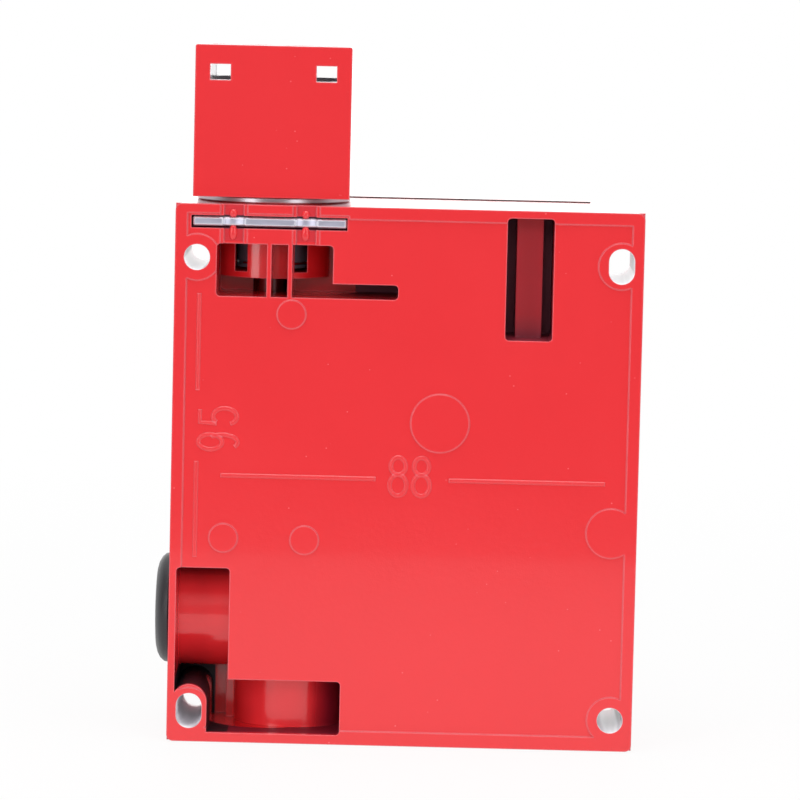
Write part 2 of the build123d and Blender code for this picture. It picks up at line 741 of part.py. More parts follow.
# Front cover: a shallow shell with the same outline, cut away at the corners like the body
with BuildPart() as front_cover:
    with BuildSketch(REAR.offset(cover_back_depth)):
        with Locations((0, body_mid_z)):
            RectangleRounded(body_width, body_height, body_corner_r)
        for notch_x, notch_z, notch_width, notch_height in corner_notches:
            with Locations((notch_x, notch_z)):
                Rectangle(notch_width + seat_clearance, notch_height + seat_clearance, mode=Mode.SUBTRACT)
    extrude(amount=cover_thickness)
    chamfer(front_cover.faces().sort_by(Axis.Y)[0].edges(), length=cover_edge)
    with BuildSketch(REAR.offset(cover_back_depth)):
        with Locations((0, body_mid_z)):
            Rectangle(body_width - 2 * cover_wall, body_height - 2 * cover_wall)
        for post_x, post_z, post_width, post_height in corner_posts:
            with Locations((post_x, post_z)):
                Rectangle(post_width + cover_wall, post_height + cover_wall, mode=Mode.SUBTRACT)
        with Locations(*cover_screw_places):
            Circle(cover_screw_boss_r, mode=Mode.SUBTRACT)
        with Locations(*board_posts):
            Circle(board_post_r, mode=Mode.SUBTRACT)
    extrude(amount=cover_thickness - cover_front, mode=Mode.SUBTRACT)
    with BuildSketch(REAR.offset(cover_back_depth)):
        with Locations(*cover_screw_places):
            Circle(cover_screw_r + seat_clearance)
        with Locations((lock_x, lock_z)):
            Circle(lock_r + shaft_clearance)
        with Locations(*lens_places):
            Circle(lens_r + shaft_clearance)
    extrude(amount=cover_thickness, mode=Mode.SUBTRACT)
    with BuildSketch(REAR.offset(total_depth)):
        with Locations(*cover_screw_places):
            Circle(cover_screw_head_r + seat_clearance)
    extrude(amount=-cover_screw_head_height, mode=Mode.SUBTRACT)
save(front_cover, "front_cover")

# Seal between body and cover: a flat frame that follows the rim and the corner posts
with BuildPart() as cover_gasket:
    with BuildSketch(REAR.offset(body_depth)):
        with Locations((0, body_mid_z)):
            Rectangle(body_width - seat_clearance, body_height - seat_clearance)
        for notch_x, notch_z, notch_width, notch_height in corner_notches:
            with Locations((notch_x, notch_z)):
                Rectangle(notch_width + 2 * seat_clearance, notch_height + 2 * seat_clearance,
                          mode=Mode.SUBTRACT)
        with BuildSketch(mode=Mode.SUBTRACT):
            with Locations((0, body_mid_z)):
                Rectangle(body_width - 2 * cover_wall, body_height - 2 * cover_wall)
            for post_x, post_z, post_width, post_height in corner_posts:
                with Locations((post_x, post_z)):
                    Rectangle(post_width, post_height, mode=Mode.SUBTRACT)
            with Locations(*cover_screw_places):
                Circle(cover_screw_boss_r, mode=Mode.SUBTRACT)
        with Locations(*cover_screw_places):
            Circle(cover_screw_r + seat_clearance, mode=Mode.SUBTRACT)
    extrude(amount=seal_thickness)
save(cover_gasket, "cover_gasket")

# Cover screws: cheese heads with a cross recess, sunk level with the cover's face
with BuildPart() as cover_screws:
    with BuildSketch(REAR.offset(total_depth - cover_screw_head_height)):
        with Locations(*cover_screw_places):
            Circle(cover_screw_head_r)
    extrude(amount=cover_screw_head_height - cover_screw_sink)
    with BuildSketch(REAR.offset(total_depth - cover_screw_head_height)):
        with Locations(*cover_screw_places):
            Circle(cover_screw_r)
    extrude(amount=-(cover_screw_length - cover_screw_head_height - cover_screw_end_gap))
    with BuildSketch(REAR.offset(total_depth - cover_screw_sink)):
        with Locations(*cover_screw_places):
            Rectangle(cross_slot_length, cross_slot_width)
            Rectangle(cross_slot_width, cross_slot_length)
    extrude(amount=-cross_slot_depth, mode=Mode.SUBTRACT)
save(cover_screws, "cover_screws")

# Turret head: square casting with a drum chamber, three tongue ways, two rear windows and a grooved spigot
chamber_width = head_width - 2 * head_wall
top_slot_depth = head_depth - (tongue_slot_z - drum_z)
with BuildPart() as head_casting:
    with BuildSketch(Plane.XY.offset(head_bottom)):
        with Locations((head_x, -head_depth)):
            Rectangle(head_width, head_width)
    extrude(amount=head_top - head_bottom)
    front_uprights = head_casting.edges().filter_by(Axis.Z).group_by(Axis.Y)[0]
    fillet(front_uprights, radius=head_corner_r)
    crown = head_casting.faces().sort_by(Axis.Z)[-1].edges().sort_by(Axis.Y)[:-1]
    fillet(crown, radius=head_crown_r)
    with BuildSketch(Plane.XY.offset(spigot_bottom)):
        with Locations((head_x, -head_depth)):
            Circle(spigot_r)
    extrude(amount=head_bottom - spigot_bottom)
    with BuildSketch(Plane.XY.offset(clip_z - clip_thickness / 2 - seat_clearance)):
        with Locations((head_x, -head_depth)):
            Circle(spigot_r)
            Circle(spigot_groove_r, mode=Mode.SUBTRACT)
    extrude(amount=clip_thickness + 2 * seat_clearance, mode=Mode.SUBTRACT)
    with BuildSketch(Plane.XY.offset(head_bottom + head_floor)):
        with Locations((head_x, -head_depth)):
            RectangleRounded(chamber_width, chamber_width, head_corner_r - head_wall)
    extrude(amount=head_top - head_roof - head_bottom - head_floor, mode=Mode.SUBTRACT)
    with BuildSketch(Plane.XY.offset(spigot_bottom)):
        with Locations((head_x, -head_depth)):
            Circle(guide_r + shaft_clearance)
    extrude(amount=guide_top - spigot_bottom, mode=Mode.SUBTRACT)
    with BuildSketch(Plane.XY.offset(spigot_bottom)):
        with Locations((head_x, -head_depth)):
            Circle(rod_r + running_gap)
    extrude(amount=head_bottom + head_floor - spigot_bottom, mode=Mode.SUBTRACT)
    with BuildSketch(REAR.offset(head_depth)):
        with Locations((head_x, tongue_slot_z)):
            Rectangle(tongue_slot_length, tongue_slot_height)
    extrude(amount=head_width, mode=Mode.SUBTRACT)
    with BuildSketch(REAR):
        for side_x in (-1, 1):
            with Locations((head_x + side_x * (tongue_slot_length - window_width) / 2, tongue_slot_z)):
                Rectangle(window_width, tongue_slot_height)
    extrude(amount=head_depth, mode=Mode.SUBTRACT)
    with BuildSketch(Plane.XY.offset(drum_z)):
        with Locations((head_x, -top_slot_depth)):
            Rectangle(tongue_slot_length, tongue_slot_height)
    extrude(amount=head_top - drum_z, mode=Mode.SUBTRACT)
    with BuildSketch(Plane.YZ.offset(head_x - head_width / 2)):
        with Locations((-head_depth, drum_z)):
            Circle(axle_r)
    extrude(amount=head_width, mode=Mode.SUBTRACT)
save(head_casting, "head_casting")

# Bright collar ring between head and body, round the spigot
with BuildPart() as head_collar:
    with BuildSketch(Plane.XY.offset(body_top)):
        with Locations((head_x, -head_depth)):
            Circle(collar_r)
            Circle(spigot_r + seat_clearance, mode=Mode.SUBTRACT)
    extrude(amount=head_bottom - body_top)
    chamfer(head_collar.edges().filter_by(GeomType.CIRCLE).group_by(SortBy.RADIUS)[-1], length=collar_edge)
save(head_collar, "head_collar")

# Retaining clip: a steel fork whose prongs lie in the spigot groove
with BuildPart() as head_clip:
    with BuildSketch(Plane.XY.offset(clip_z - clip_thickness / 2)):
        with Locations((middle(clip_left, clip_right), -panel_recess - clip_web / 2)):
            Rectangle(clip_right - clip_left, clip_web)
        for side_x in (-1, 1):
            with Locations((head_x + side_x * (spigot_groove_r + running_gap + clip_prong_width / 2),
                            -panel_recess - (clip_web + clip_prong_depth) / 2)):
                Rectangle(clip_prong_width, clip_web + clip_prong_depth)
            with Locations((head_x + side_x * clip_neck_offset, -panel_recess)):
                Rectangle(clip_neck_width, clip_neck_depth, mode=Mode.SUBTRACT)
    extrude(amount=clip_thickness)
save(head_clip, "head_clip")

# Black guide sleeve in the spigot, seen through the neck windows
with BuildPart() as plunger_guide:
    with BuildSketch(Plane.XY.offset(guide_bottom)):
        with Locations((head_x, -head_depth)):
            Circle(guide_r)
            Circle(rod_r + shaft_clearance, mode=Mode.SUBTRACT)
    extrude(amount=guide_top - guide_bottom)
    with BuildSketch(Plane.XY.offset(guide_bottom + guide_groove_start)):
        with Locations((head_x, -head_depth)):
            Circle(guide_r)
            Circle(guide_r - guide_groove_depth, mode=Mode.SUBTRACT)
    extrude(amount=guide_groove_width, mode=Mode.SUBTRACT)
save(plunger_guide, "plunger_guide")

# Plunger: a rod with a ball end under the cam and a flag that the latch catches
with BuildPart() as head_plunger:
    with BuildSketch(Plane.XZ.offset(head_depth)):
        with BuildLine():
            Polyline((head_x, rod_ball_z), (head_x, rod_bottom),
                     (head_x + rod_r - rod_tip_chamfer, rod_bottom),
                     (head_x + rod_r, rod_bottom + rod_tip_chamfer), (head_x + rod_r, flag_top - flag_thickness),
                     (head_x + flag_r, flag_top - flag_thickness), (head_x + flag_r, flag_top),
                     (head_x + rod_r, flag_top), (head_x + rod_r, rod_ball_z))
            RadiusArc((head_x + rod_r, rod_ball_z), (head_x, rod_top), -rod_r)
            Line((head_x, rod_top), (head_x, rod_ball_z))
        make_face()
    revolve(axis=Axis((head_x, -head_depth, 0), (0, 0, 1)))
save(head_plunger, "head_plunger")

# Washer ring on the plunger that the return spring pushes up
with BuildPart() as spring_washer:
    with BuildSketch(Plane.XY.offset(spring_washer_top - spring_washer_thickness)):
        with Locations((head_x, -head_depth)):
            Circle(spring_washer_r)
            Circle(rod_r, mode=Mode.SUBTRACT)
    extrude(amount=spring_washer_thickness)
save(spring_washer, "spring_washer")

# Return spring between the latch bracket and the washer
spring_length = spring_washer_top - spring_washer_thickness - bracket_z
return_rise = spring_length - 2 * return_spring_wire_r - seat_clearance
return_points = []
for step in range(return_spring_turns * coil_steps + 1):
    turn = 2 * pi * step / coil_steps
    lift = return_rise * step / (return_spring_turns * coil_steps)
    return_points.append((head_x + return_spring_r * cos(turn), return_spring_r * sin(turn) - head_depth,
                          bracket_z + return_spring_wire_r + seat_clearance / 2 + lift))
with BuildPart() as return_spring:
    with BuildLine() as return_coil:
        Polyline(*return_points)
    with BuildSketch(Plane(origin=return_coil.line @ 0, z_dir=return_coil.line % 0)):
        RegularPolygon(return_spring_wire_r, 6)
    sweep(path=return_coil.line, transition=Transition.RIGHT)
save(return_spring, "return_spring")

# Cam drum: two notched discs for the tongue, and between them a spiral cam over the plunger
# The ball's centre moves in proportion to the turn, and the cam's edge runs parallel to its path.
cam_path = []
for step in range(cam_steps + 1):
    turn = radians(-cam_lead_deg + (cam_turn_deg + cam_lead_deg + cam_tail_deg) * step / cam_steps)
    angle = turn - pi / 2
    reach = drum_z - rod_ball_z - travel_per_radian * turn
    along = (-travel_per_radian * cos(angle) - reach * sin(angle),
             -travel_per_radian * sin(angle) + reach * cos(angle))
    offset_share = (rod_r + running_gap) / hypot(*along)
    cam_path.append((-head_depth + reach * cos(angle) - along[1] * offset_share,
                     drum_z + reach * sin(angle) + along[0] * offset_share))
with BuildPart() as cam_drum:
    with BuildSketch(Plane.YZ.offset(head_x - cam_half_width)):
        with BuildLine():
            Spline(*cam_path)
            Polyline(cam_path[-1], (-head_depth, drum_z), cam_path[0])
        make_face()
    extrude(amount=2 * cam_half_width)
    with BuildSketch(Plane.YZ.offset(head_x - chamber_width / 2 + running_gap)):
        with Locations((-head_depth, drum_z)):
            Circle(drum_hub_r)
    extrude(amount=chamber_width - 2 * running_gap)
    with BuildSketch(Plane.YZ.offset(head_x - drum_half_width)):
        with Locations((-head_depth, drum_z)):
            Circle(drum_r)
        with Locations((-head_depth, tongue_slot_z + tongue_slot_height / 2)):
            Rectangle(notch_width, 2 * tongue_slot_height, mode=Mode.SUBTRACT)
        with Locations((-top_slot_depth + tongue_slot_height / 2, drum_z)):
            Rectangle(2 * tongue_slot_height, notch_width, mode=Mode.SUBTRACT)
    extrude(amount=drum_disc_width)
    mirror(about=Plane.YZ.offset(head_x))
    with BuildSketch(Plane.YZ.offset(head_x - chamber_width / 2)):
        with Locations((-head_depth, drum_z)):
            Circle(axle_r + shaft_clearance)
    extrude(amount=chamber_width, mode=Mode.SUBTRACT)
save(cam_drum, "cam_drum")

# Axle of the drum, pressed into the head's side walls
with BuildPart() as drum_axle:
    with BuildSketch(Plane.YZ.offset(head_x - head_width / 2 + seat_clearance)):
        with Locations((-head_depth, drum_z)):
            Circle(axle_r)
    extrude(amount=head_width - 2 * seat_clearance)
save(drum_axle, "drum_axle")

# Latch bracket: an angle plate on the rear wall, with a cheek that guides the latch
with BuildPart() as latch_bracket:
    with BuildSketch(REAR.offset(rear_wall)):
        with Locations((middle(bracket_left, bracket_right),
                        middle(bracket_z - bracket_thickness, bracket_leg_top))):
            Rectangle(bracket_right - bracket_left, bracket_leg_top - bracket_z + bracket_thickness)
    extrude(amount=bracket_thickness)
    with BuildSketch(Plane.XY.offset(bracket_z - bracket_thickness)):
        with Locations((middle(bracket_left, bracket_right), -rear_wall - bracket_reach / 2)):
            Rectangle(bracket_right - bracket_left, bracket_reach)
    extrude(amount=bracket_thickness)
    with BuildSketch(Plane.YZ.offset(bracket_left)):
        with Locations((-rear_wall - bracket_reach / 2, middle(bracket_z, latch_z - latch_width / 2))):
            Rectangle(bracket_reach, bracket_z - latch_z + latch_width / 2)
        with Locations((-head_depth, latch_z)):
            Rectangle(latch_width + 2 * running_gap, latch_thickness + 2 * running_gap, mode=Mode.SUBTRACT)
    extrude(amount=bracket_thickness)
    with BuildSketch(Plane.XY.offset(bracket_z - bracket_thickness)):
        with Locations((head_x, -head_depth)):
            Circle(rod_r + running_gap)
    extrude(amount=bracket_thickness, mode=Mode.SUBTRACT)
    with BuildSketch(REAR.offset(rear_wall)):
        with Locations(inner_screws[0][:2], inner_screws[1][:2]):
            Circle(inner_screw_r)
    extrude(amount=bracket_thickness, mode=Mode.SUBTRACT)
save(latch_bracket, "latch_bracket")

# Solenoid yoke: back plate with screw tabs and two cheeks
with BuildPart() as solenoid_yoke:
    with BuildSketch(REAR.offset(rear_wall)):
        with Locations((middle(yoke_left, yoke_right), latch_z)):
            Rectangle(yoke_right - yoke_left + 2 * yoke_tab, yoke_height)
        with Locations(inner_screws[2][:2], inner_screws[3][:2]):
            Circle(inner_screw_r, mode=Mode.SUBTRACT)
    extrude(amount=yoke_thickness)
    for cheek_x in (yoke_left, yoke_right - yoke_thickness):
        with BuildSketch(Plane.YZ.offset(cheek_x)):
            with Locations((-middle(rear_wall, yoke_front_depth), latch_z)):
                Rectangle(yoke_front_depth - rear_wall, yoke_height)
            with Locations((-head_depth, latch_z)):
                Circle(armature_r + running_gap, mode=Mode.SUBTRACT)
        extrude(amount=yoke_thickness)
save(solenoid_yoke, "solenoid_yoke")

# Bobbin between the cheeks
with BuildPart() as coil_bobbin:
    with BuildSketch(Plane.YZ.offset(yoke_left + yoke_thickness)):
        with Locations((-head_depth, latch_z)):
            Circle(bobbin_tube_r)
    extrude(amount=coil_length)
    for flange_x in (yoke_left + yoke_thickness, yoke_right - yoke_thickness - bobbin_flange):
        with BuildSketch(Plane.YZ.offset(flange_x)):
            with Locations((-head_depth, latch_z)):
                Rectangle(2 * (coil_r + bobbin_flange_edge), 2 * (coil_r + bobbin_flange_edge))
        extrude(amount=bobbin_flange)
    with BuildSketch(Plane.YZ.offset(yoke_left + yoke_thickness)):
        with Locations((-head_depth, latch_z)):
            Circle(armature_r + shaft_clearance)
    extrude(amount=coil_length, mode=Mode.SUBTRACT)
save(coil_bobbin, "coil_bobbin")

# Winding of the solenoid
with BuildPart() as solenoid_coil:
    with BuildSketch(Plane.YZ.offset(yoke_left + yoke_thickness + bobbin_flange)):
        with Locations((-head_depth, latch_z)):
            Circle(coil_r)
            Circle(bobbin_tube_r, mode=Mode.SUBTRACT)
    extrude(amount=coil_length - 2 * bobbin_flange)
save(solenoid_coil, "solenoid_coil")

# Armature of the solenoid, slotted at its outer end for the latch
with BuildPart() as armature:
    with BuildSketch(Plane.YZ.offset(yoke_left + yoke_thickness + armature_end_gap)):
        with Locations((-head_depth, latch_z)):
            Circle(armature_r)
    extrude(amount=armature_right - yoke_left - yoke_thickness - armature_end_gap)
    with BuildSketch(Plane.XY.offset(latch_z - latch_thickness / 2)):
        with Locations((middle(latch_left, armature_right), -head_depth)):
            Rectangle(armature_right - latch_left, 2 * armature_r)
    extrude(amount=latch_thickness, mode=Mode.SUBTRACT)
    with BuildSketch(Plane.XY.offset(latch_z - armature_r)):
        with Locations((middle(latch_left, armature_right), -head_depth)):
            Circle(latch_pin_r)
    extrude(amount=2 * armature_r, mode=Mode.SUBTRACT)
save(armature, "armature")

# Latch bar with a collar for its spring
with BuildPart() as lock_latch:
    with BuildSketch(Plane.XY.offset(latch_z - latch_thickness / 2)):
        with Locations((middle(latch_left, latch_right), -head_depth)):
            Rectangle(latch_right - latch_left, latch_width)
        with Locations((middle(latch_left, armature_right), -head_depth)):
            Circle(latch_pin_r, mode=Mode.SUBTRACT)
    extrude(amount=latch_thickness)
    with BuildSketch(Plane.YZ.offset(latch_collar_x - latch_collar_thickness)):
        with Locations((-head_depth, latch_z)):
            Circle(latch_width / 2 + latch_collar_step)
    extrude(amount=latch_collar_thickness)
    chamfer(lock_latch.faces().sort_by(Axis.X)[-1].edges().filter_by(Axis.Z), length=latch_tip_chamfer)
    with BuildSketch(REAR.offset(head_depth)):
        with Locations((middle(armature_right, latch_collar_x - latch_collar_thickness), latch_z)):
            Rectangle(latch_lug_width, latch_thickness)
    extrude(amount=lock_back_depth - lock_cam_thickness - running_gap - head_depth)
save(lock_latch, "lock_latch")

# Pin that joins the latch and the armature
with BuildPart() as latch_pin:
    with BuildSketch(Plane.XY.offset(latch_z - armature_r + latch_pin_sink)):
        with Locations((middle(latch_left, armature_right), -head_depth)):
            Circle(latch_pin_r)
    extrude(amount=2 * (armature_r - latch_pin_sink))
save(latch_pin, "latch_pin")

# Latch spring between the collar and the bracket's cheek
latch_coil_rise = latch_spring_room - 2 * latch_spring_wire_r - seat_clearance
latch_points = []
for step in range(latch_spring_turns * coil_steps + 1):
    turn = 2 * pi * step / coil_steps
    lift = latch_coil_rise * step / (latch_spring_turns * coil_steps)
    latch_points.append((latch_collar_x + latch_spring_wire_r + seat_clearance / 2 + lift,
                         latch_spring_r * cos(turn) - head_depth, latch_z + latch_spring_r * sin(turn)))
with BuildPart() as latch_spring:
    with BuildLine() as latch_coil:
        Polyline(*latch_points)
    with BuildSketch(Plane(origin=latch_coil.line @ 0, z_dir=latch_coil.line % 0)):
        RegularPolygon(latch_spring_wire_r, 6)
    sweep(path=latch_coil.line, transition=Transition.RIGHT)
save(latch_spring, "latch_spring")

# Contact block: housing with a side ledge for the terminals, open towards the front
with BuildPart() as contact_housing:
    with BuildSketch(REAR.offset(rear_wall)):
        with Locations((head_x, block_mid_z)):
            Rectangle(block_width, block_top - block_bottom)
    extrude(amount=block_front_depth - rear_wall)
    with BuildSketch(REAR.offset(rear_wall)):
        with Locations((head_x, block_mid_z)):
            Rectangle(block_width + 2 * block_ledge, block_top - block_bottom)
    extrude(amount=ledge_depth - rear_wall)
    with BuildSketch(REAR.offset(head_depth - contact_rod_side)):
        with Locations((head_x, block_mid_z)):
            Rectangle(2 * cavity_half_width, block_top - block_bottom - 2 * block_wall)
    extrude(amount=block_front_depth, mode=Mode.SUBTRACT)
    with BuildSketch(Plane.XY.offset(block_top - block_wall)):
        with Locations((head_x, -head_depth)):
            Rectangle(contact_rod_side + 2 * running_gap, contact_rod_side + 2 * running_gap)
    extrude(amount=block_wall, mode=Mode.SUBTRACT)
    with BuildSketch(REAR.offset(head_depth - strip_half_width)):
        for side, base in strips:
            with Locations((head_x + side * middle(strip_reach, strip_inner_x),
                            base + fixed_contact_thickness / 2)):
                Rectangle(strip_reach - strip_inner_x, fixed_contact_thickness)
    extrude(amount=2 * strip_half_width, mode=Mode.SUBTRACT)
    with BuildSketch(REAR.offset(ledge_depth)):
        with Locations(*terminals):
            Circle(terminal_screw_r)
    extrude(amount=-terminal_hole_depth, mode=Mode.SUBTRACT)
    with BuildSketch(REAR.offset(ledge_depth)):
        with Locations(inner_screws[4][:2], inner_screws[5][:2]):
            Circle(inner_screw_r)
    extrude(amount=-(ledge_depth - rear_wall), mode=Mode.SUBTRACT)
save(contact_housing, "contact_housing")

# Cover plate of the contact block
with BuildPart() as contact_cover:
    with BuildSketch(REAR.offset(block_front_depth)):
        with Locations((head_x, block_mid_z)):
            Rectangle(block_width, block_top - block_bottom)
    extrude(amount=block_cover_thickness)
    chamfer(contact_cover.faces().sort_by(Axis.Y)[0].edges(), length=block_cover_edge)
save(contact_cover, "contact_cover")

# Contact plunger, with a window for each bridge
with BuildPart() as contact_plunger:
    with BuildSketch(Plane.XY.offset(contact_rod_bottom)):
        with Locations((head_x, -head_depth)):
            Rectangle(contact_rod_side, contact_rod_side)
    extrude(amount=contact_rod_top - contact_rod_bottom)
    for bridge_z in (bridge_upper_z, bridge_lower_z):
        with BuildSketch(Plane.XY.offset(bridge_z - bridge_thickness / 2)):
            with Locations((head_x, -head_depth)):
                Rectangle(contact_rod_side, bridge_width)
        extrude(amount=bridge_thickness, mode=Mode.SUBTRACT)
save(contact_plunger, "contact_plunger")

# Moving bridges, each with a silver tip at both ends
with BuildPart() as contact_bridges:
    for bridge_z, tip_side in ((bridge_upper_z, 1), (bridge_lower_z, -1)):
        with BuildSketch(Plane.XY.offset(bridge_z - bridge_thickness / 2)):
            with Locations((head_x, -head_depth)):
                Rectangle(bridge_length, bridge_width)
        extrude(amount=bridge_thickness)
        with BuildSketch(Plane.XY.offset(bridge_z + tip_side * bridge_thickness / 2)):
            with Locations((head_x - tip_x, -head_depth), (head_x + tip_x, -head_depth)):
                Circle(contact_tip_r)
        extrude(amount=tip_side * contact_tip_height)
save(contact_bridges, "contact_bridges")

# Fixed contacts: strips through the housing walls, bent down to the terminal screws
with BuildPart() as fixed_contacts:
    for side, base in strips:
        with BuildSketch(REAR.offset(head_depth - strip_half_width)):
            with Locations((head_x + side * middle(strip_reach, strip_inner_x),
                            base + fixed_contact_thickness / 2)):
                Rectangle(strip_reach - strip_inner_x, fixed_contact_thickness)
        extrude(amount=2 * strip_half_width)
    with BuildSketch(REAR.offset(ledge_depth)):
        with Locations(*terminals):
            Rectangle(block_ledge, 2 * terminal_drop + fixed_contact_thickness)
            Circle(terminal_screw_r, mode=Mode.SUBTRACT)
    extrude(amount=fixed_contact_thickness)
    for tip_base, tip_side in ((upper_strip_z, -1), (lower_strip_z + fixed_contact_thickness, 1)):
        with BuildSketch(Plane.XY.offset(tip_base)):
            with Locations((head_x - tip_x, -head_depth), (head_x + tip_x, -head_depth)):
                Circle(contact_tip_r)
        extrude(amount=tip_side * contact_tip_height)
save(fixed_contacts, "fixed_contacts")

# Terminal screws of the fixed contacts
with BuildPart() as terminal_screws:
    with BuildSketch(REAR.offset(ledge_depth + fixed_contact_thickness)):
        with Locations(*terminals):
            Circle(terminal_screw_head_r)
    extrude(amount=terminal_screw_head_height)
    with BuildSketch(REAR.offset(ledge_depth + fixed_contact_thickness)):
        with Locations(*terminals):
            Circle(terminal_screw_r)
    extrude(amount=-terminal_screw_length)
    with BuildSketch(REAR.offset(ledge_depth + fixed_contact_thickness + terminal_screw_head_height)):
        with Locations(*terminals):
            Rectangle(driver_slot_length, driver_slot_width)
    extrude(amount=-driver_slot_depth, mode=Mode.SUBTRACT)
save(terminal_screws, "terminal_screws")

# Screws of the bracket, the yoke and the contact block
with BuildPart() as inner_fasteners:
    for screw_x, screw_z, seat_depth in inner_screws:
        with BuildSketch(REAR.offset(seat_depth)):
            with Locations((screw_x, screw_z)):
                Circle(inner_screw_head_r)
        extrude(amount=inner_screw_head_height)
        with BuildSketch(REAR.offset(seat_depth)):
            with Locations((screw_x, screw_z)):
                Circle(inner_screw_r)
        extrude(amount=-(seat_depth - rear_wall + inner_screw_bite - seat_clearance))
        with BuildSketch(REAR.offset(seat_depth + inner_screw_head_height)):
            with Locations((screw_x, screw_z)):
                Rectangle(driver_slot_length, driver_slot_width)
        extrude(amount=-driver_slot_depth, mode=Mode.SUBTRACT)
save(inner_fasteners, "inner_screws")

# Earth terminal: a square washer and its screw on the rear wall
with BuildPart() as earth_terminal:
    with BuildSketch(REAR.offset(rear_wall)):
        with Locations((earth_x, earth_z)):
            Rectangle(earth_washer_side, earth_washer_side)
            Circle(inner_screw_r, mode=Mode.SUBTRACT)
    extrude(amount=earth_washer_thickness)
    chamfer(earth_terminal.edges().filter_by(Axis.Y), length=earth_washer_corner)
save(earth_terminal, "earth_washer")

with BuildPart() as earth_screw:
    with BuildSketch(REAR.offset(rear_wall + earth_washer_thickness)):
        with Locations((earth_x, earth_z)):
            Circle(earth_head_r)
    extrude(amount=earth_head_height)
    with BuildSketch(REAR.offset(rear_wall + earth_washer_thickness)):
        with Locations((earth_x, earth_z)):
            Circle(inner_screw_r)
    extrude(amount=-(earth_washer_thickness + inner_screw_bite - seat_clearance))
    with BuildSketch(REAR.offset(rear_wall + earth_washer_thickness + earth_head_height)):
        with Locations((earth_x, earth_z)):
            Rectangle(earth_slot_length, cross_slot_width)
            Rectangle(cross_slot_width, earth_slot_length)
    extrude(amount=-cross_slot_depth, mode=Mode.SUBTRACT)
save(earth_screw, "earth_screw")

# Blanking plug of the side entry, with a domed cap and a hollow shank, and its sealing ring
plug_seat = body_right_x + plug_seal_thickness
plug_end = body_right_x - plug_shank_length
plug_bore_r = entry_bore_r - plug_shank_wall
with BuildPart() as side_entry_plug:
    with BuildSketch(Plane.XZ.offset(entry_depth)):
        with BuildLine():
            Polyline((plug_seat + plug_flange_height, side_entry_z),
                     (plug_end + plug_floor, side_entry_z),
                     (plug_end + plug_floor, side_entry_z + plug_bore_r),
                     (plug_end, side_entry_z + plug_bore_r),
                     (plug_end, side_entry_z + entry_bore_r),
                     (plug_seat, side_entry_z + entry_bore_r),
                     (plug_seat, side_entry_z + plug_flange_r),
                     (plug_seat + plug_rim_height, side_entry_z + plug_flange_r),
                     (plug_seat + plug_flange_height - plug_dome_drop, side_entry_z + plug_dome_r),
                     (plug_seat + plug_flange_height, side_entry_z))
        make_face()
    revolve(axis=Axis((0, -entry_depth, side_entry_z), (1, 0, 0)))
save(side_entry_plug, "side_entry_plug")

with BuildPart() as plug_seal:
    with BuildSketch(Plane.YZ.offset(body_right_x)):
        with Locations((-entry_depth, side_entry_z)):
            Circle(plug_flange_r - plug_seal_inset)
            Circle(entry_bore_r, mode=Mode.SUBTRACT)
    extrude(amount=plug_seal_thickness)
save(plug_seal, "plug_seal")

# Release lock on the cover: barrel, rotor with key slot, nut and cam
with BuildPart() as release_barrel:
    with BuildSketch(REAR.offset(total_depth)):
        with Locations((lock_x, lock_z)):
            Circle(lock_head_r)
    extrude(amount=lock_head_height)
    chamfer(release_barrel.faces().sort_by(Axis.Y)[0].edges(), length=lock_head_edge)
    with BuildSketch(REAR.offset(lock_back_depth)):
        with Locations((lock_x, lock_z)):
            Circle(lock_r)
    extrude(amount=lock_length)
    with BuildSketch(REAR.offset(lock_back_depth)):
        with Locations((lock_x, lock_z)):
            Circle(lock_rotor_r + shaft_clearance)
    extrude(amount=lock_length + lock_head_height, mode=Mode.SUBTRACT)
save(release_barrel, "release_lock_barrel")

with BuildPart() as release_rotor:
    with BuildSketch(REAR.offset(lock_back_depth - lock_cam_thickness - lock_shaft_end)):
        with Locations((lock_x, lock_z)):
            Circle(lock_shaft_r)
    extrude(amount=lock_cam_thickness + lock_shaft_end)
    with BuildSketch(REAR.offset(lock_back_depth)):
        with Locations((lock_x, lock_z)):
            Circle(lock_rotor_r)
    extrude(amount=lock_length + lock_head_height - lock_rotor_sink)
    with BuildSketch(REAR.offset(total_depth + lock_head_height)):
        with Locations((lock_x, lock_z)):
            Rectangle(key_slot_width, key_slot_length)
            Circle(key_centre_r)
    extrude(amount=-key_slot_depth, mode=Mode.SUBTRACT)
save(release_rotor, "release_rotor")

with BuildPart() as release_nut:
    with BuildSketch(REAR.offset(lens_back_depth - lock_nut_thickness)):
        with Locations((lock_x, lock_z)):
            RegularPolygon(lock_r + lock_nut_wall, 6, major_radius=False)
            Circle(lock_r, mode=Mode.SUBTRACT)
    extrude(amount=lock_nut_thickness)
save(release_nut, "release_lock_nut")

with BuildPart() as release_cam:
    with BuildSketch(REAR.offset(lock_back_depth - lock_cam_thickness)):
        with Locations((lock_x, lock_z)):
            Circle(lock_cam_hub_r)
        with Locations((lock_x + (lock_cam_reach - lock_cam_width / 2) / 2, lock_z)):
            SlotOverall(lock_cam_reach + lock_cam_width / 2, lock_cam_width)
        with Locations((lock_x, lock_z)):
            Circle(lock_shaft_r, mode=Mode.SUBTRACT)
    extrude(amount=lock_cam_thickness)
save(release_cam, "release_cam")

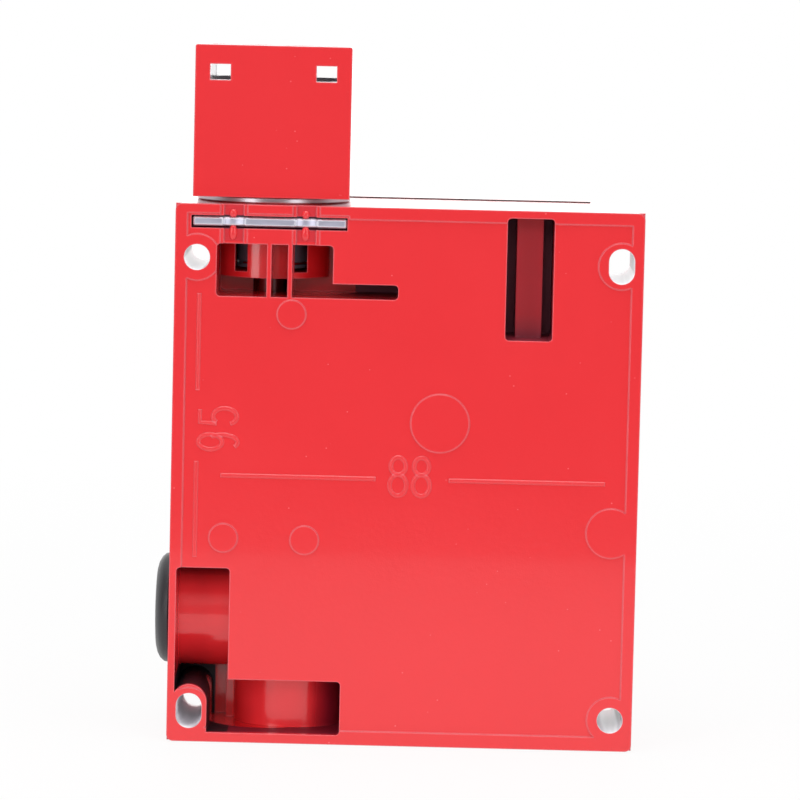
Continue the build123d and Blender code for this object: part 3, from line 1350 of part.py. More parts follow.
# Pilot lights: two lenses in the cover and a board with two lamps behind them
for lens_name, lens_place in (("pilot_lens_left", lens_places[0]), ("pilot_lens_right", lens_places[1])):
    with BuildPart() as pilot_lens:
        with BuildSketch(REAR.offset(lens_back_depth - lens_flange_thickness)):
            with Locations(lens_place):
                Circle(lens_r + lens_flange)
        extrude(amount=lens_flange_thickness)
        with BuildSketch(REAR.offset(lens_back_depth)):
            with Locations(lens_place):
                Circle(lens_r)
        extrude(amount=cover_front + lens_height)
        chamfer(pilot_lens.faces().sort_by(Axis.Y)[0].edges(), length=lens_edge)
    save(pilot_lens, lens_name)

with BuildPart() as pilot_board:
    with BuildSketch(REAR.offset(cover_back_depth - board_thickness)):
        with Locations((lens_x, lens_z)):
            Rectangle(board_width, board_height)
    extrude(amount=board_thickness)
save(pilot_board, "pilot_board")

with BuildPart() as pilot_lamps:
    with BuildSketch(REAR.offset(cover_back_depth)):
        with Locations(*lens_places):
            Circle(lamp_r)
    extrude(amount=lamp_height)
save(pilot_lamps, "pilot_lamps")

# Terminal strip for the solenoid and the lights, with its screws
with BuildPart() as terminal_strip:
    with BuildSketch(REAR.offset(rear_wall)):
        with Locations((strip_left + strip_way * strip_ways / 2, strip_mid_z)):
            Rectangle(strip_way * strip_ways, strip_block_height)
    extrude(amount=strip_block_depth)
    with BuildSketch(REAR.offset(rear_wall + strip_block_depth)):
        with Locations(*way_places):
            Circle(strip_screw_r)
    extrude(amount=-strip_hole_depth, mode=Mode.SUBTRACT)
    with BuildSketch(Plane.XY.offset(strip_mid_z - strip_block_height / 2)):
        with Locations(*[(way_x, -rear_wall - strip_wire_height) for way_x, _ in way_places]):
            Rectangle(strip_wire_way, strip_wire_way)
    extrude(amount=strip_block_height, mode=Mode.SUBTRACT)
save(terminal_strip, "terminal_strip")

with BuildPart() as strip_screws:
    with BuildSketch(REAR.offset(rear_wall + strip_block_depth - strip_hole_depth)):
        with Locations(*way_places):
            Circle(strip_screw_r)
    extrude(amount=strip_hole_depth - strip_screw_drop)
    with BuildSketch(REAR.offset(rear_wall + strip_block_depth - strip_screw_drop)):
        with Locations(*way_places):
            Rectangle(driver_slot_length, driver_slot_width)
    extrude(amount=-driver_slot_depth, mode=Mode.SUBTRACT)
save(strip_screws, "strip_screws")
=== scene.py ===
import json
from math import radians

import bpy
from mathutils import Matrix, Vector

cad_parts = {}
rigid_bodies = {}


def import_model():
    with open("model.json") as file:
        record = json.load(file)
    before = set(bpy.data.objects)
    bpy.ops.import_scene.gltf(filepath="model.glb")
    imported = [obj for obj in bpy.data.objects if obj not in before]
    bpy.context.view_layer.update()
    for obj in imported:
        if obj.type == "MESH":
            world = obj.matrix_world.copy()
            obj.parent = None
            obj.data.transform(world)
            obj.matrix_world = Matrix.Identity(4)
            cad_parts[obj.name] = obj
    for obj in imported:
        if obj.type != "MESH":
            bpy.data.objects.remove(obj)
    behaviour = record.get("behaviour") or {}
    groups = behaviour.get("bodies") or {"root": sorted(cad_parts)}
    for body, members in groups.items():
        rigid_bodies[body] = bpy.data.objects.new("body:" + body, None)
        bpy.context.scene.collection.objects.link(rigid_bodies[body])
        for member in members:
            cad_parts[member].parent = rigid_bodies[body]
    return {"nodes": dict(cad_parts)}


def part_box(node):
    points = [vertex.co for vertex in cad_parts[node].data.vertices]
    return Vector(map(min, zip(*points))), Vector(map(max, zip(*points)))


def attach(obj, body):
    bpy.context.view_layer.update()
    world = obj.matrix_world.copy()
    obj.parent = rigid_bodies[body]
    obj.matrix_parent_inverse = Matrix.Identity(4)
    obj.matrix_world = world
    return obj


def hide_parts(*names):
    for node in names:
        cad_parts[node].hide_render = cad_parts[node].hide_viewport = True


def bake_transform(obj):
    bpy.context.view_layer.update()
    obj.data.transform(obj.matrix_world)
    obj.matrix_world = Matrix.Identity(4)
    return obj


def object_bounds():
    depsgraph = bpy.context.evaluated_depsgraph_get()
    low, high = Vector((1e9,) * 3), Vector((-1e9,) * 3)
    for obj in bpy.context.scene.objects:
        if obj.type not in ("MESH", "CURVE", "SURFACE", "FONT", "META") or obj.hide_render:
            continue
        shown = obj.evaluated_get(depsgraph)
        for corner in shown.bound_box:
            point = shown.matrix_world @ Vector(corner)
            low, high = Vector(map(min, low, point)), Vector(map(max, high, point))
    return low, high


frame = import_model()
cad_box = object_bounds()
bpy.ops.object.select_all(action="DESELECT")


# Camera
# The switch is photographed from its rear face, from a little above and almost square on, with a long lens.
camera_place = (-0.00794, 0.98092, 0.11683)
camera_turn = (radians(84.289), radians(-1.303), radians(-179.330))
photo_side = 800
focal_in_pixels = 4750
bpy.ops.object.camera_add(location=camera_place, rotation=camera_turn)
camera = bpy.context.object
camera.name = "photo_camera"
camera.data.sensor_width = 36
camera.data.lens = camera.data.sensor_width * focal_in_pixels / photo_side
camera.data.clip_end = 20
bpy.context.scene.camera = camera
bpy.context.scene.view_settings.view_transform = "Standard"


# Table, room and lamps
# A white table runs back without an edge, in a white room. Two tall soft boxes stand beside the camera and a weak
# one above it, one hangs over the switch, and a long low one behind it burns the top faces out to white.
def feed(node, name, value):
    """Links a wire to an input of a node, or sets the input to a constant."""
    if isinstance(value, Wire):
        value.tree.links.new(value.socket, node.inputs[name])
    else:
        node.inputs[name].default_value = value


class Wire:
    """One output of a material's nodes. Sums and products of wires and numbers add the Math nodes they need."""

    def __init__(self, tree, socket=None):
        self.tree = tree
        self.socket = socket

    def node(self, kind, settings, sockets, out=0):
        made = self.tree.nodes.new("ShaderNode" + kind)
        for name, value in settings.items():
            setattr(made, name, value)
        for name, value in sockets.items():
            feed(made, name, value)
        return Wire(self.tree, made.outputs[out])

    def output(self, name):
        """Another output of the node that this wire comes from."""
        return Wire(self.tree, self.socket.node.outputs[name])

    def math(self, operation, *values, clamp=False):
        return self.node("Math", {"operation": operation, "use_clamp": clamp}, dict(enumerate(values)))

    def __add__(self, other):
        return self.math("ADD", self, other)

    def __radd__(self, other):
        return self.math("ADD", other, self)

    def __sub__(self, other):
        return self.math("SUBTRACT", self, other)

    def __rsub__(self, other):
        return self.math("SUBTRACT", other, self)

    def __mul__(self, other):
        return self.math("MULTIPLY", self, other)

    def __rmul__(self, other):
        return self.math("MULTIPLY", other, self)

    def clamped(self):
        return self.math("ADD", self, 0.0, clamp=True)

    def absolute(self):
        return self.math("ABSOLUTE", self)

    def root(self):
        return self.math("SQRT", self)

    def at_least(self, other):
        return self.math("MAXIMUM", self, other)

    def below(self, limit, soft):
        """1 where the wire is under the limit, 0 above it, with an edge as wide as soft."""
        return ((limit - self) * (1 / soft) + 0.5).clamped()

    def rise(self, low, span):
        """0 up to low, then rising to 1 over the span."""
        return ((self - low) * (1 / span)).clamped()

    def fall(self, high, span):
        """0 down to high, then rising to 1 as the wire falls by the span."""
        return ((high - self) * (1 / span)).clamped()


def new_material(name):
    material = bpy.data.materials.new(name)
    material.use_nodes = True
    return material, material.node_tree.nodes["Principled BSDF"], Wire(material.node_tree)


def object_place(wire):
    """The Object coordinates of a point on the surface, in metres."""
    return wire.node("TexCoord", {}, {}, out="Object")


def three_axes(place):
    split = place.node("SeparateXYZ", {}, {0: place})
    return [split.output(axis) for axis in "XYZ"]


def mix_colour(wire, share, first, second):
    return wire.node("Mix", {"data_type": "RGBA"}, {0: share, 6: first, 7: second}, out=2)


table_side = 6
table_front = 0.30
table_gap = 0.0002
table_middle = table_front - table_side / 2
contact_shade_reach = 0.12
bpy.ops.mesh.primitive_plane_add(size=table_side, location=(0, table_middle, cad_box[0][2] - table_gap))
table = bpy.context.object
table.name = "table"
material, surface, wire = new_material("table_white")
feed(surface, "Base Color", (0.96, 0.96, 0.96, 1))
feed(surface, "Roughness", 0.6)
rays = wire.node("LightPath", {}, {})
seen = (rays.output("Is Camera Ray") + rays.output("Is Glossy Ray") + rays.output("Is Transmission Ray")).clamped()
x, y = three_axes(object_place(wire))[:2]
back = y + table_middle
away = ((x * x + back * back).root() - contact_shade_reach).clamped()
seen = seen * (away * 0.25 + 0.90).clamped()
glow = wire.node("Emission", {}, {"Strength": 1.0})
white_top = wire.node("MixShader", {}, {0: seen, 1: Wire(wire.tree, surface.outputs[0]), 2: glow})
underneath = wire.node("NewGeometry", {}, {}, out="Backfacing")
clear = wire.node("BsdfTransparent", {}, {})
open_below = wire.node("MixShader", {}, {0: underneath, 1: white_top, 2: clear})
feed(wire.tree.nodes["Material Output"], "Surface", open_below)
table.data.materials.append(material)

room_light = 0.40
mirrored_room = 0.28
world = bpy.data.worlds.new("white_room")
bpy.context.scene.world = world
world.use_nodes = True
wire = Wire(world.node_tree)
rays = wire.node("LightPath", {}, {})
mirrored = rays.output("Is Glossy Ray")
seen = (rays.output("Is Camera Ray") + rays.output("Is Transmission Ray")).clamped()
towards_camera = three_axes(wire.node("TexCoord", {}, {}, out="Generated"))[1]
mirrored_light = (towards_camera * -2.0 + 0.6).clamped() * (1 - mirrored_room) + mirrored_room
strength = seen + (1 - seen) * (mirrored * mirrored_light + (1 - mirrored) * room_light)
background = world.node_tree.nodes["Background"]
feed(background, "Color", (1, 1, 1, 1))
feed(background, "Strength", strength)

lamp_target = Vector((0, -0.02, 0.0))
# Name, place, width and height, and power of each soft box
soft_boxes = [
    ("left_box", (0.66, 0.94, 0.30), (0.36, 0.90), 2.9),
    ("right_box", (-0.66, 0.94, 0.30), (0.36, 0.90), 2.5),
    ("fill_box", (0.0, 1.15, 0.40), (0.50, 0.30), 1.6),
    ("top_box", (0.0, 0.20, 0.95), (0.80, 0.80), 5.4),
    ("back_box", (0.0, -1.0, 0.16), (1.10, 0.34), 0.9),
]
for lamp_name, lamp_place, lamp_size, lamp_power in soft_boxes:
    lamp_turn = (lamp_target - Vector(lamp_place)).to_track_quat("-Z", "Y").to_euler()
    bpy.ops.object.light_add(type="AREA", location=lamp_place, rotation=lamp_turn)
    lamp = bpy.context.object
    lamp.name = lamp_name
    lamp.data.shape = "RECTANGLE"
    lamp.data.size, lamp.data.size_y = lamp_size
    lamp.data.energy = lamp_power
    lamp.visible_glossy = lamp_name != "fill_box"
    lamp.visible_camera = False


# Body casting and front cover
# Both are die-cast zinc, powder coated red with a very fine orange peel. Pale edges are a painted highlight, the dark
# red and near black deep in the rear pockets are painted shade, and the brighter red on the lower bosses is painted
# light. The fixing holes are drilled after coating, so their walls are bare zinc, painted near white for reflected
# light.
powder_red = ((0.790, 0.022, 0.029, 1), (0.830, 0.026, 0.034, 1))
fleck_red = (0.95, 0.25, 0.28, 1)
# Painted highlight on the coat's edges
edge_highlight_red = (0.97, 0.20, 0.24, 1)
# Painted highlight at the feet of raised strokes
stroke_highlight_red = (0.95, 0.22, 0.25, 1)
# Painted light and shade in the rear pockets: a brighter red where the lower bosses are lit, a dark red for shade,
# and for the deepest shade a plum above the middle and a near black below it
lit_boss_red = (0.970, 0.036, 0.046, 1)
shade_red = (0.300, 0.010, 0.035, 1)
upper_shade_colour = (0.240, 0.050, 0.085, 1)
lower_shade_colour = (0.006, 0.007, 0.014, 1)
# Bare zinc, painted near white: partly its own tone, partly painted reflected light
bare_zinc_painted_pale = (0.97, 0.95, 0.99, 1)
coat_edge_radius = 0.00045
mask_edge = 0.0002
half_height_edge = 0.004


def dress(node_names, material):
    for node_name in node_names:
        slots = frame["nodes"][node_name].data.materials
        slots.clear()
        slots.append(material)


def in_box(wires, limits, soft=mask_edge):
    """1 inside a box given as the low and high limit along each axis, 0 outside it."""
    inside = 1.0
    for wire, (low, high) in zip(wires, limits):
        margin = (high - low) / 2 - (wire - (low + high) / 2).absolute()
        inside = (margin * (1 / soft) + 0.5).clamped() * inside
    return inside


def edge_share(wire, radius, gain):
    """The normal rounded at the edges, and a share that is 1 where it leaves the flat one and 0 on open faces."""
    rounded = wire.node("Bevel", {"samples": 6}, {"Radius": radius})
    facing = wire.node("NewGeometry", {}, {}, out="Normal")
    alike = wire.node("VectorMath", {"operation": "DOT_PRODUCT"}, {0: rounded, 1: facing}, out="Value")
    return rounded, ((1.0 - alike) * gain).clamped()


def red_coat(name, bare_places=None, shade_places=None, highlight_places=None):
    """Red powder coat with a painted highlight along the edges. The masks come from the coordinates: 1 where the
    metal is bare, the shares of painted shade, of deep painted shade and of painted light in a pocket, and 1 where a
    raised stroke gets its painted highlight."""
    material, surface, wire = new_material(name)
    place = object_place(wire)
    x, y, z = three_axes(place)
    mottle = wire.node("TexNoise", {}, {"Vector": place, "Scale": 45.0, "Detail": 3.0})
    specks = wire.node("TexVoronoi", {"feature": "F1"}, {"Vector": place, "Scale": 340.0, "Randomness": 1.0})
    sparse = wire.node("TexNoise", {}, {"Vector": place, "Scale": 130.0, "Detail": 0.0})
    fleck = specks.below(0.045, 0.030) * sparse.below(0.50, 0.04)
    rounded, edge = edge_share(wire, coat_edge_radius, 9.0)
    coat = mix_colour(wire, mottle, *powder_red)
    coat = mix_colour(wire, fleck * 0.55, coat, fleck_red)
    # Painted highlight: the edges are mixed towards a pale red
    coat = mix_colour(wire, edge * 0.70, coat, edge_highlight_red)
    # Painted highlight along the feet of raised strokes
    if highlight_places:
        coat = mix_colour(wire, highlight_places(x, y, z) * 0.6, coat, stroke_highlight_red)
    roughness = mottle * 0.08 + 0.14
    varnish = 0.5
    if shade_places:
        shade_share, deep_shade_share, lit_share = shade_places(x, y, z)
        # Painted light: the lit lower bosses are mixed towards a brighter red
        coat = mix_colour(wire, lit_share, coat, lit_boss_red)
        # Painted shade: dark red, then a plum above the middle and near black below it for the deepest places
        coat = mix_colour(wire, shade_share, coat, shade_red)
        deep_shade_colour = mix_colour(wire, z.below(0.0, half_height_edge), upper_shade_colour, lower_shade_colour)
        coat = mix_colour(wire, deep_shade_share, coat, deep_shade_colour)
        shaded_share = shade_share.at_least(deep_shade_share)
        roughness = roughness + shaded_share * 0.35
        varnish = (1.0 - shaded_share) * varnish
    # Bare metal, painted near white, partly as reflected light
    if bare_places:
        bare = bare_places(x, y, z)
        coat = mix_colour(wire, bare, coat, bare_zinc_painted_pale)
        roughness = roughness + bare * 0.25
    peel = wire.node("TexNoise", {}, {"Vector": place, "Scale": 900.0, "Detail": 2.0})
    grain = wire.node("TexNoise", {}, {"Vector": place, "Scale": 3200.0, "Detail": 1.0})
    bump = wire.node("Bump", {}, {"Height": peel * 0.7 + grain * 0.3, "Strength": 0.10, "Distance": 0.0004,
                                  "Normal": rounded})
    feed(surface, "Base Color", coat)
    feed(surface, "Roughness", roughness)
    feed(surface, "Metallic", 0.0)
    feed(surface, "Normal", bump)
    feed(surface, "Coat Weight", varnish)
    feed(surface, "Coat Roughness", 0.05)
    return material


body_low, body_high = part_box("body_casting")
fixing_pitch = (0.088, 0.095)
fixing_hole_radius = 0.00265
fixing_slot_length = 0.0073
drill_skin = 0.00004


def drilled_holes(x, y, z):
    """The walls of the two round and the two slotted fixing holes."""
    bare = 0.0
    for side_x in (-1, 1):
        for side_z in (-1, 1):
            across = x - side_x * fixing_pitch[0] / 2
            along = (z - side_z * fixing_pitch[1] / 2).absolute()
            if side_x * side_z < 0:
                along = (along - (fixing_slot_length / 2 - fixing_hole_radius)).at_least(0.0)
            reach = (across * across + along * along).root()
            bare = reach.below(fixing_hole_radius + drill_skin, drill_skin) + bare
    return bare.clamped()


# Limits in X and in Z of the rear pockets and of what lies in them
side_slot = ((-0.0306, -0.0195), (0.0309, 0.0577))
pocket_fields = [
    ((0.0150, 0.0407), (0.0388, 0.0510)),
    ((0.0015, 0.0407), (0.0388, 0.0432)),
    side_slot,
    ((0.0352, 0.0479), (-0.0527, -0.0166)),
    ((0.0117, 0.0479), (-0.0527, -0.0400)),
]
pocket_reach = 0.0270
shaded_corner = ((0.0352, 0.0479), (-0.0300, -0.0160))
screw_well = ((0.0360, 0.0480), (-0.0530, -0.0404))
pocket_sill = ((0.0117, 0.0479), (-0.0524, -0.0515))
clip_slot = ((0.0125, 0.0457), (0.0535, 0.0563))
channel_fields = [((0.0344, 0.0388), (0.0510, body_high[2])), ((0.0195, 0.0239), (0.0510, body_high[2]))]
channel_floor = 0.0030
# Axes across each boss or neck in a pocket, its centre on them, and whether it gets a painted light
pocket_bosses = [("yz", -0.0210, -0.0288, True), ("xy", 0.0235, -0.0210, True), ("xy", 0.0290, -0.0195, False)]
boss_reach = 0.0123
# Where each shade begins and over what distance it fills: the first six by depth, the others along X or Z
shade_fade = (0.0030, 0.0125)
deep_shade_fade = (0.0130, 0.0050)
channel_fade = (0.0008, 0.0003)
clip_slot_fade = (0.0006, 0.0006)
well_fade = (0.0005, 0.0016)
sill_fade = (0.0006, 0.0014)
corner_fade = (-0.0207, 0.0036)
end_fade = (0.0192, 0.0045)
foot_fade = (0.0365, 0.0050)
shelter_lip = 0.0015
lower_end_top = -0.0390


def painted_pocket_shade(x, y, z):
    """Painted shade: the rear pockets turn dark red and then near black with depth, and so do the channels, the
    clip's slot, the screw well and the pocket's sill. The lower pocket's far end, its shaded corner and the foot of
    the side slot are painted darker still, where the walls shade them. The bosses and the neck are left out, and the
    lower bosses get a painted light."""
    depth = y * -1.0
    lower_half = z.below(0.0, half_height_edge)
    pockets = 0.0
    for field in pocket_fields:
        pockets = (in_box((x, z), field) + pockets).clamped()
    pockets = pockets * depth.below(pocket_reach, mask_edge)

    corner = z.rise(*corner_fade) * in_box((x, z), shaded_corner)
    end = x.fall(*end_fade) * z.below(lower_end_top, 0.0004)
    foot = z.fall(*foot_fade) * in_box((x, z), side_slot)
    inside = pockets * (1.0 - depth.below(shelter_lip, mask_edge))
    sheltered = inside * (corner + end + foot).clamped()
    deepest = inside * (corner + foot).clamped() * 0.55

    lit_share = 0.0
    for axes, first_centre, second_centre, painted_lighter in pocket_bosses:
        first, second = (y, z) if axes == "yz" else (x, y)
        across = first - first_centre
        along = second - second_centre
        boss = (across * across + along * along).root().below(boss_reach, 0.0003)
        # Painted light on the lower half of the lit bosses, outside the shaded places
        if painted_lighter:
            lit_share = pockets * boss * lower_half * (1.0 - sheltered) + lit_share
        pockets = pockets * (1.0 - boss)

    channels = 0.0
    for field in channel_fields:
        channels = (in_box((x, z), field) + channels).clamped()
    channels = channels * depth.rise(*channel_fade) * depth.below(channel_floor, mask_edge)
    clip_way = in_box((x, z), clip_slot) * depth.rise(*clip_slot_fade) * depth.below(pocket_reach, mask_edge)
    well = in_box((x, z), screw_well, 0.0003) * depth.rise(*well_fade)
    sill = in_box((x, z), pocket_sill) * depth.rise(*sill_fade)
    # Painted shade: dark red with depth, near black deeper still
    shade_share = (pockets * depth.rise(*shade_fade) + channels * 0.32 + clip_way).clamped()
    shade_share = shade_share.at_least(sill * pockets).at_least(sheltered * 0.9)
    deep_shade_share = pockets * (depth.rise(*deep_shade_fade) + well + sill * 0.3).clamped()
    deep_shade_share = deep_shade_share.at_least(clip_way * 0.8).at_least(deepest)
    return shade_share, deep_shade_share, lit_share


dress(["body_casting"], red_coat("red_coat_body", drilled_holes, painted_pocket_shade))
dress(["front_cover"], red_coat("red_coat_cover"))


# Raised figures and dimension lines on the rear face
# The two fixing pitches stand on the recessed panel as plain figures, 88 across and 95 up, with a line at each side.
# They are cast with the body, about 0.3 mm proud of the panel, so that the rim still rests on the wall.
panel_depth = 0.0004
stroke_width = 0.00095
stroke_height = 0.00032
stroke_foot_height = 0.00013
stroke_sink = 0.00002


def stroke_highlight(x, y, z):
    """The foot of a raised stroke, painted pale as a highlight."""
    return y.below(-panel_depth + stroke_foot_height, 0.00006)


red_relief = red_coat("red_coat_relief", highlight_places=stroke_highlight)


def paint(piece, material, smooth_degrees):
    """Gives a finished mesh its material, and smooth shading where its faces meet at less than an angle."""
    piece.data.materials.clear()
    piece.data.materials.append(material)
    bpy.ops.object.shade_smooth_by_angle(angle=radians(smooth_degrees))


def first_point(name, x, y, z):
    """A mesh of one point, left in edit mode, so that a profile can be drawn out of it."""
    bpy.ops.mesh.primitive_circle_add(vertices=3, radius=0.001, location=(0, 0, 0))
    piece = bpy.context.object
    piece.name = name
    bpy.ops.object.mode_set(mode="EDIT")
    bpy.ops.mesh.merge(type="CENTER")
    bpy.ops.transform.translate(value=(x, y, z))
    return piece


def stroke_loop(centre_x, centre_z, width, height, keep=None):
    """An oval centre line; keep leaves only the points for which it is true."""
    bpy.ops.mesh.primitive_circle_add(vertices=40, radius=0.5, location=(centre_x, centre_z, 0))
    loop = bpy.context.object
    loop.scale = (width, height, 1)
    bpy.ops.object.transform_apply(location=True, rotation=True, scale=True)
    if keep:
        bpy.ops.object.mode_set(mode="EDIT")
        bpy.ops.mesh.select_all(action="DESELECT")
        bpy.ops.object.mode_set(mode="OBJECT")
        for vertex in loop.data.vertices:
            vertex.select = not keep((vertex.co.x - centre_x) / width * 2, (vertex.co.y - centre_z) / height * 2)
        bpy.ops.object.mode_set(mode="EDIT")
        bpy.ops.mesh.delete(type="VERT")
        bpy.ops.object.mode_set(mode="OBJECT")
    return loop


def stroke_run(points):
    """A centre line through a few corners, drawn out point by point."""
    run = first_point("stroke_run", points[0][0], points[0][1], 0)
    for before, after in zip(points, points[1:]):
        bpy.ops.mesh.extrude_region_move(TRANSFORM_OT_translate={
            "value": (after[0] - before[0], after[1] - before[1], 0)})
    bpy.ops.object.mode_set(mode="OBJECT")
    return run


def raise_strokes(name, lines, turn, place_x, place_z):
    """Joins centre lines, gives them their width and height, and stands them on the panel."""
    bpy.ops.object.select_all(action="DESELECT")
    for line in lines:
        line.select_set(True)
    bpy.context.view_layer.objects.active = lines[0]
    if len(lines) > 1:
        bpy.ops.object.join()
    bpy.ops.object.convert(target="CURVE")
    centre_line = bpy.context.object
    centre_line.data.dimensions = "3D"
    centre_line.data.bevel_depth = stroke_width / 2
    centre_line.data.bevel_resolution = 4
    centre_line.data.use_fill_caps = True
    bpy.ops.object.convert(target="MESH")
    piece = bpy.context.object
    bpy.ops.object.mode_set(mode="EDIT")
    bpy.ops.mesh.select_all(action="SELECT")
    bpy.ops.transform.resize(value=(1, 1, 2 * stroke_height / stroke_width))
    bpy.ops.mesh.normals_make_consistent(inside=False)
    bpy.ops.object.mode_set(mode="OBJECT")
    piece.matrix_world = (Matrix.Translation((place_x, -panel_depth - stroke_sink, place_z))
                          @ Matrix.Rotation(turn, 4, "Y") @ Matrix.Rotation(radians(180), 4, "Z")
                          @ Matrix.Rotation(radians(90), 4, "X"))
    piece.name = name
    bpy.ops.object.transform_apply(location=True, rotation=True, scale=True)
    paint(piece, red_relief, 40)
    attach(piece, "switch")
    bpy.ops.object.select_all(action="DESELECT")


eight_width = 0.0035
eight_upper_width = 0.0031
eight_upper = 0.0036
eight_lower = 0.0044
eights_foot = -0.0013
for eight_name, middle_x in (("left", 0.00135), ("right", -0.0035)):
    eight_strokes = [
        stroke_loop(0, eight_lower / 2, eight_width, eight_lower),
        stroke_loop(0, eight_lower + eight_upper / 2, eight_upper_width, eight_upper),
    ]
    raise_strokes("figure_eight_" + eight_name, eight_strokes, 0, middle_x, eights_foot)

side_figures_foot = 0.0351
nine_place = 0.00905
five_place = 0.0144
nine_strokes = [
    stroke_loop(0, 0.0055, 0.0031, 0.0050),
    stroke_loop(0, 0.0030, 0.0031, 0.0064, keep=lambda across, up: (across > 0.3 and up < 0.75) or up < -0.8),
]
raise_strokes("figure_nine", nine_strokes, radians(90), side_figures_foot, nine_place)
five_strokes = [
    stroke_run([(0.0014, 0.0077), (-0.0013, 0.0077), (-0.0015, 0.0042)]),
    stroke_loop(0, 0.0025, 0.0034, 0.0050, keep=lambda across, up: across > -0.75 or up < -0.2 and across > -0.9),
]
raise_strokes("figure_five", five_strokes, radians(90), side_figures_foot, five_place)
dimension_lines = [
    ("lower_left", (0.0383, 0.0021), (0.0060, 0.0021)),
    ("lower_right", (-0.0092, 0.0021), (-0.0417, 0.0021)),
    ("upper_side", (0.0434, 0.0400), (0.0434, 0.0198)),
    ("lower_side", (0.0434, 0.0050), (0.0434, -0.0151)),
]
for line_name, start, end in dimension_lines:
    raise_strokes("dimension_line_" + line_name, [stroke_run([(-start[0], start[1]), (-end[0], end[1])])], 0, 0, 0)


# Head casting
# The turret head is die-cast and coated like the body. The ways that the tongue slides in are bare inside, painted a
# pale grey that stands partly for reflected light.
head_low, head_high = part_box("head_casting")
head_foot = 0.0605
head_skin = 0.0006


def tongue_ways(x, y, z):
    """1 on all that lies more than the coated skin inside the head's box."""
    inside = 1.0
    sides = ((x, head_low[0], head_high[0]), (y, head_low[1], head_high[1]), (z, head_foot, head_high[2]))
    for wire, low, high in sides:
        depth = ((high - low) / 2 - (wire - (low + high) / 2).absolute()) * (1 / head_skin) - 0.5
        inside = depth.clamped() * inside
    return inside


dress(["head_casting"], red_coat("red_coat_head", tongue_ways))


# Collar ring and retaining clip
# A bright turned ring closes the gap under the head. The clip is a stamped steel fork, plated and tumbled, and its
# pale outlines are a painted highlight.
# Painted highlight: this pale steel is mixed in along the edges of every steel
edge_highlight_steel = (0.92, 0.92, 0.94, 1)


def steel(name, colour, roughness, streaks, stretch=(1.0, 1.0, 1.0), dents=0.0, edge_width=0.0002, edge_gain=4.0):
    """Plated or turned steel with fine streaks along one direction and cloudy patches, and a painted highlight on its
    edges.
    """
    material, surface, wire = new_material(name)
    place = object_place(wire)
    lengthways = wire.node("Mapping", {}, {"Vector": place, "Scale": stretch})
    streak = wire.node("TexNoise", {}, {"Vector": lengthways, "Scale": 900.0, "Detail": 3.0})
    cloud = wire.node("TexNoise", {}, {"Vector": place, "Scale": 160.0, "Detail": 2.0})
    darker = tuple(0.78 * part for part in colour[:3]) + (1,)
    rounded, edge = edge_share(wire, edge_width, edge_gain)
    metal = mix_colour(wire, cloud * 0.6 + streak * 0.4, darker, colour)
    # Painted highlight: the edges turn pale and less metallic
    feed(surface, "Base Color", mix_colour(wire, edge * 0.7, metal, edge_highlight_steel))
    feed(surface, "Metallic", 1.0 - edge * 0.7)
    feed(surface, "Roughness", roughness + streak * streaks + cloud * 0.06 - 0.03)
    bump = wire.node("Bump", {}, {"Height": streak + cloud * dents, "Strength": 0.12, "Distance": 0.0002,
                                  "Normal": rounded})
    feed(surface, "Normal", bump)
    return material


dress(["head_collar"], steel("bright_ring", (0.60, 0.56, 0.61, 1), 0.26, 0.08, (0.06, 0.06, 1.0)))
clip_steel = steel("clip_steel", (0.80, 0.79, 0.96, 1), 0.34, 0.16, (0.3, 1.0, 1.0),
                   dents=0.8, edge_width=0.0004, edge_gain=22.0)
clip_low, clip_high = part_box("head_clip")
clip_middle_z = (clip_low[2] + clip_high[2]) / 2
clip_neck_places = (0.0365, 0.0215)
clip_neck_width = 0.0041
clip_neck_share = 0.74
clip_neck_lift = 0.0004
clip_neck_margin = 0.0002
clip_thinner = 0.97
clip_drop = 0.0001
clip_edge = 0.00034


def copy_of(node_name, copy_name):
    """A copy of a CAD node with its own mesh, selected alone."""
    bpy.ops.object.select_all(action="DESELECT")
    frame["nodes"][node_name].select_set(True)
    bpy.context.view_layer.objects.active = frame["nodes"][node_name]
    bpy.ops.object.duplicate()
    piece = bpy.context.object
    piece.name = copy_name
    piece.data = piece.data.copy()
    return piece


def round_edges(piece, modifier_name, width, segments, clamp=True):
    """Cuts or rounds the sharp edges of a piece; without clamp it keeps the width where edges are close together."""
    bevel = piece.modifiers.new(modifier_name, "BEVEL")
    bevel.width = width
    bevel.segments = segments
    bevel.use_clamp_overlap = clamp
    bpy.ops.object.modifier_apply(modifier=bevel.name)


clip = copy_of("head_clip", "clip_fork")
bpy.ops.object.mode_set(mode="EDIT")
bpy.ops.mesh.select_mode(type="VERT")
bpy.ops.mesh.select_all(action="SELECT")
bpy.ops.mesh.remove_doubles(threshold=0.00002)
bpy.ops.mesh.dissolve_limited(angle_limit=radians(2))
bpy.ops.mesh.select_all(action="DESELECT")
bpy.ops.object.mode_set(mode="OBJECT")
for vertex in clip.data.vertices:
    near_neck = any(abs(vertex.co.x - neck_x) < clip_neck_width / 2 + clip_neck_margin for neck_x in clip_neck_places)
    vertex.select = near_neck and -0.0013 < vertex.co.y < -0.0009
bpy.ops.object.mode_set(mode="EDIT")
bpy.ops.transform.resize(value=(1.0, 1.0, clip_neck_share), center_override=(0, 0, clip_middle_z))
bpy.ops.transform.translate(value=(0, clip_neck_lift, 0))
bpy.ops.mesh.select_all(action="SELECT")
bpy.ops.transform.resize(value=(1.0, 1.0, clip_thinner), center_override=(0, 0, clip_middle_z - clip_drop))
bpy.ops.object.mode_set(mode="OBJECT")
round_edges(clip, "stamped_edges", clip_edge, 1, clamp=False)
paint(clip, clip_steel, 25)
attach(clip, "switch")
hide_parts("head_clip")
bpy.ops.object.select_all(action="DESELECT")


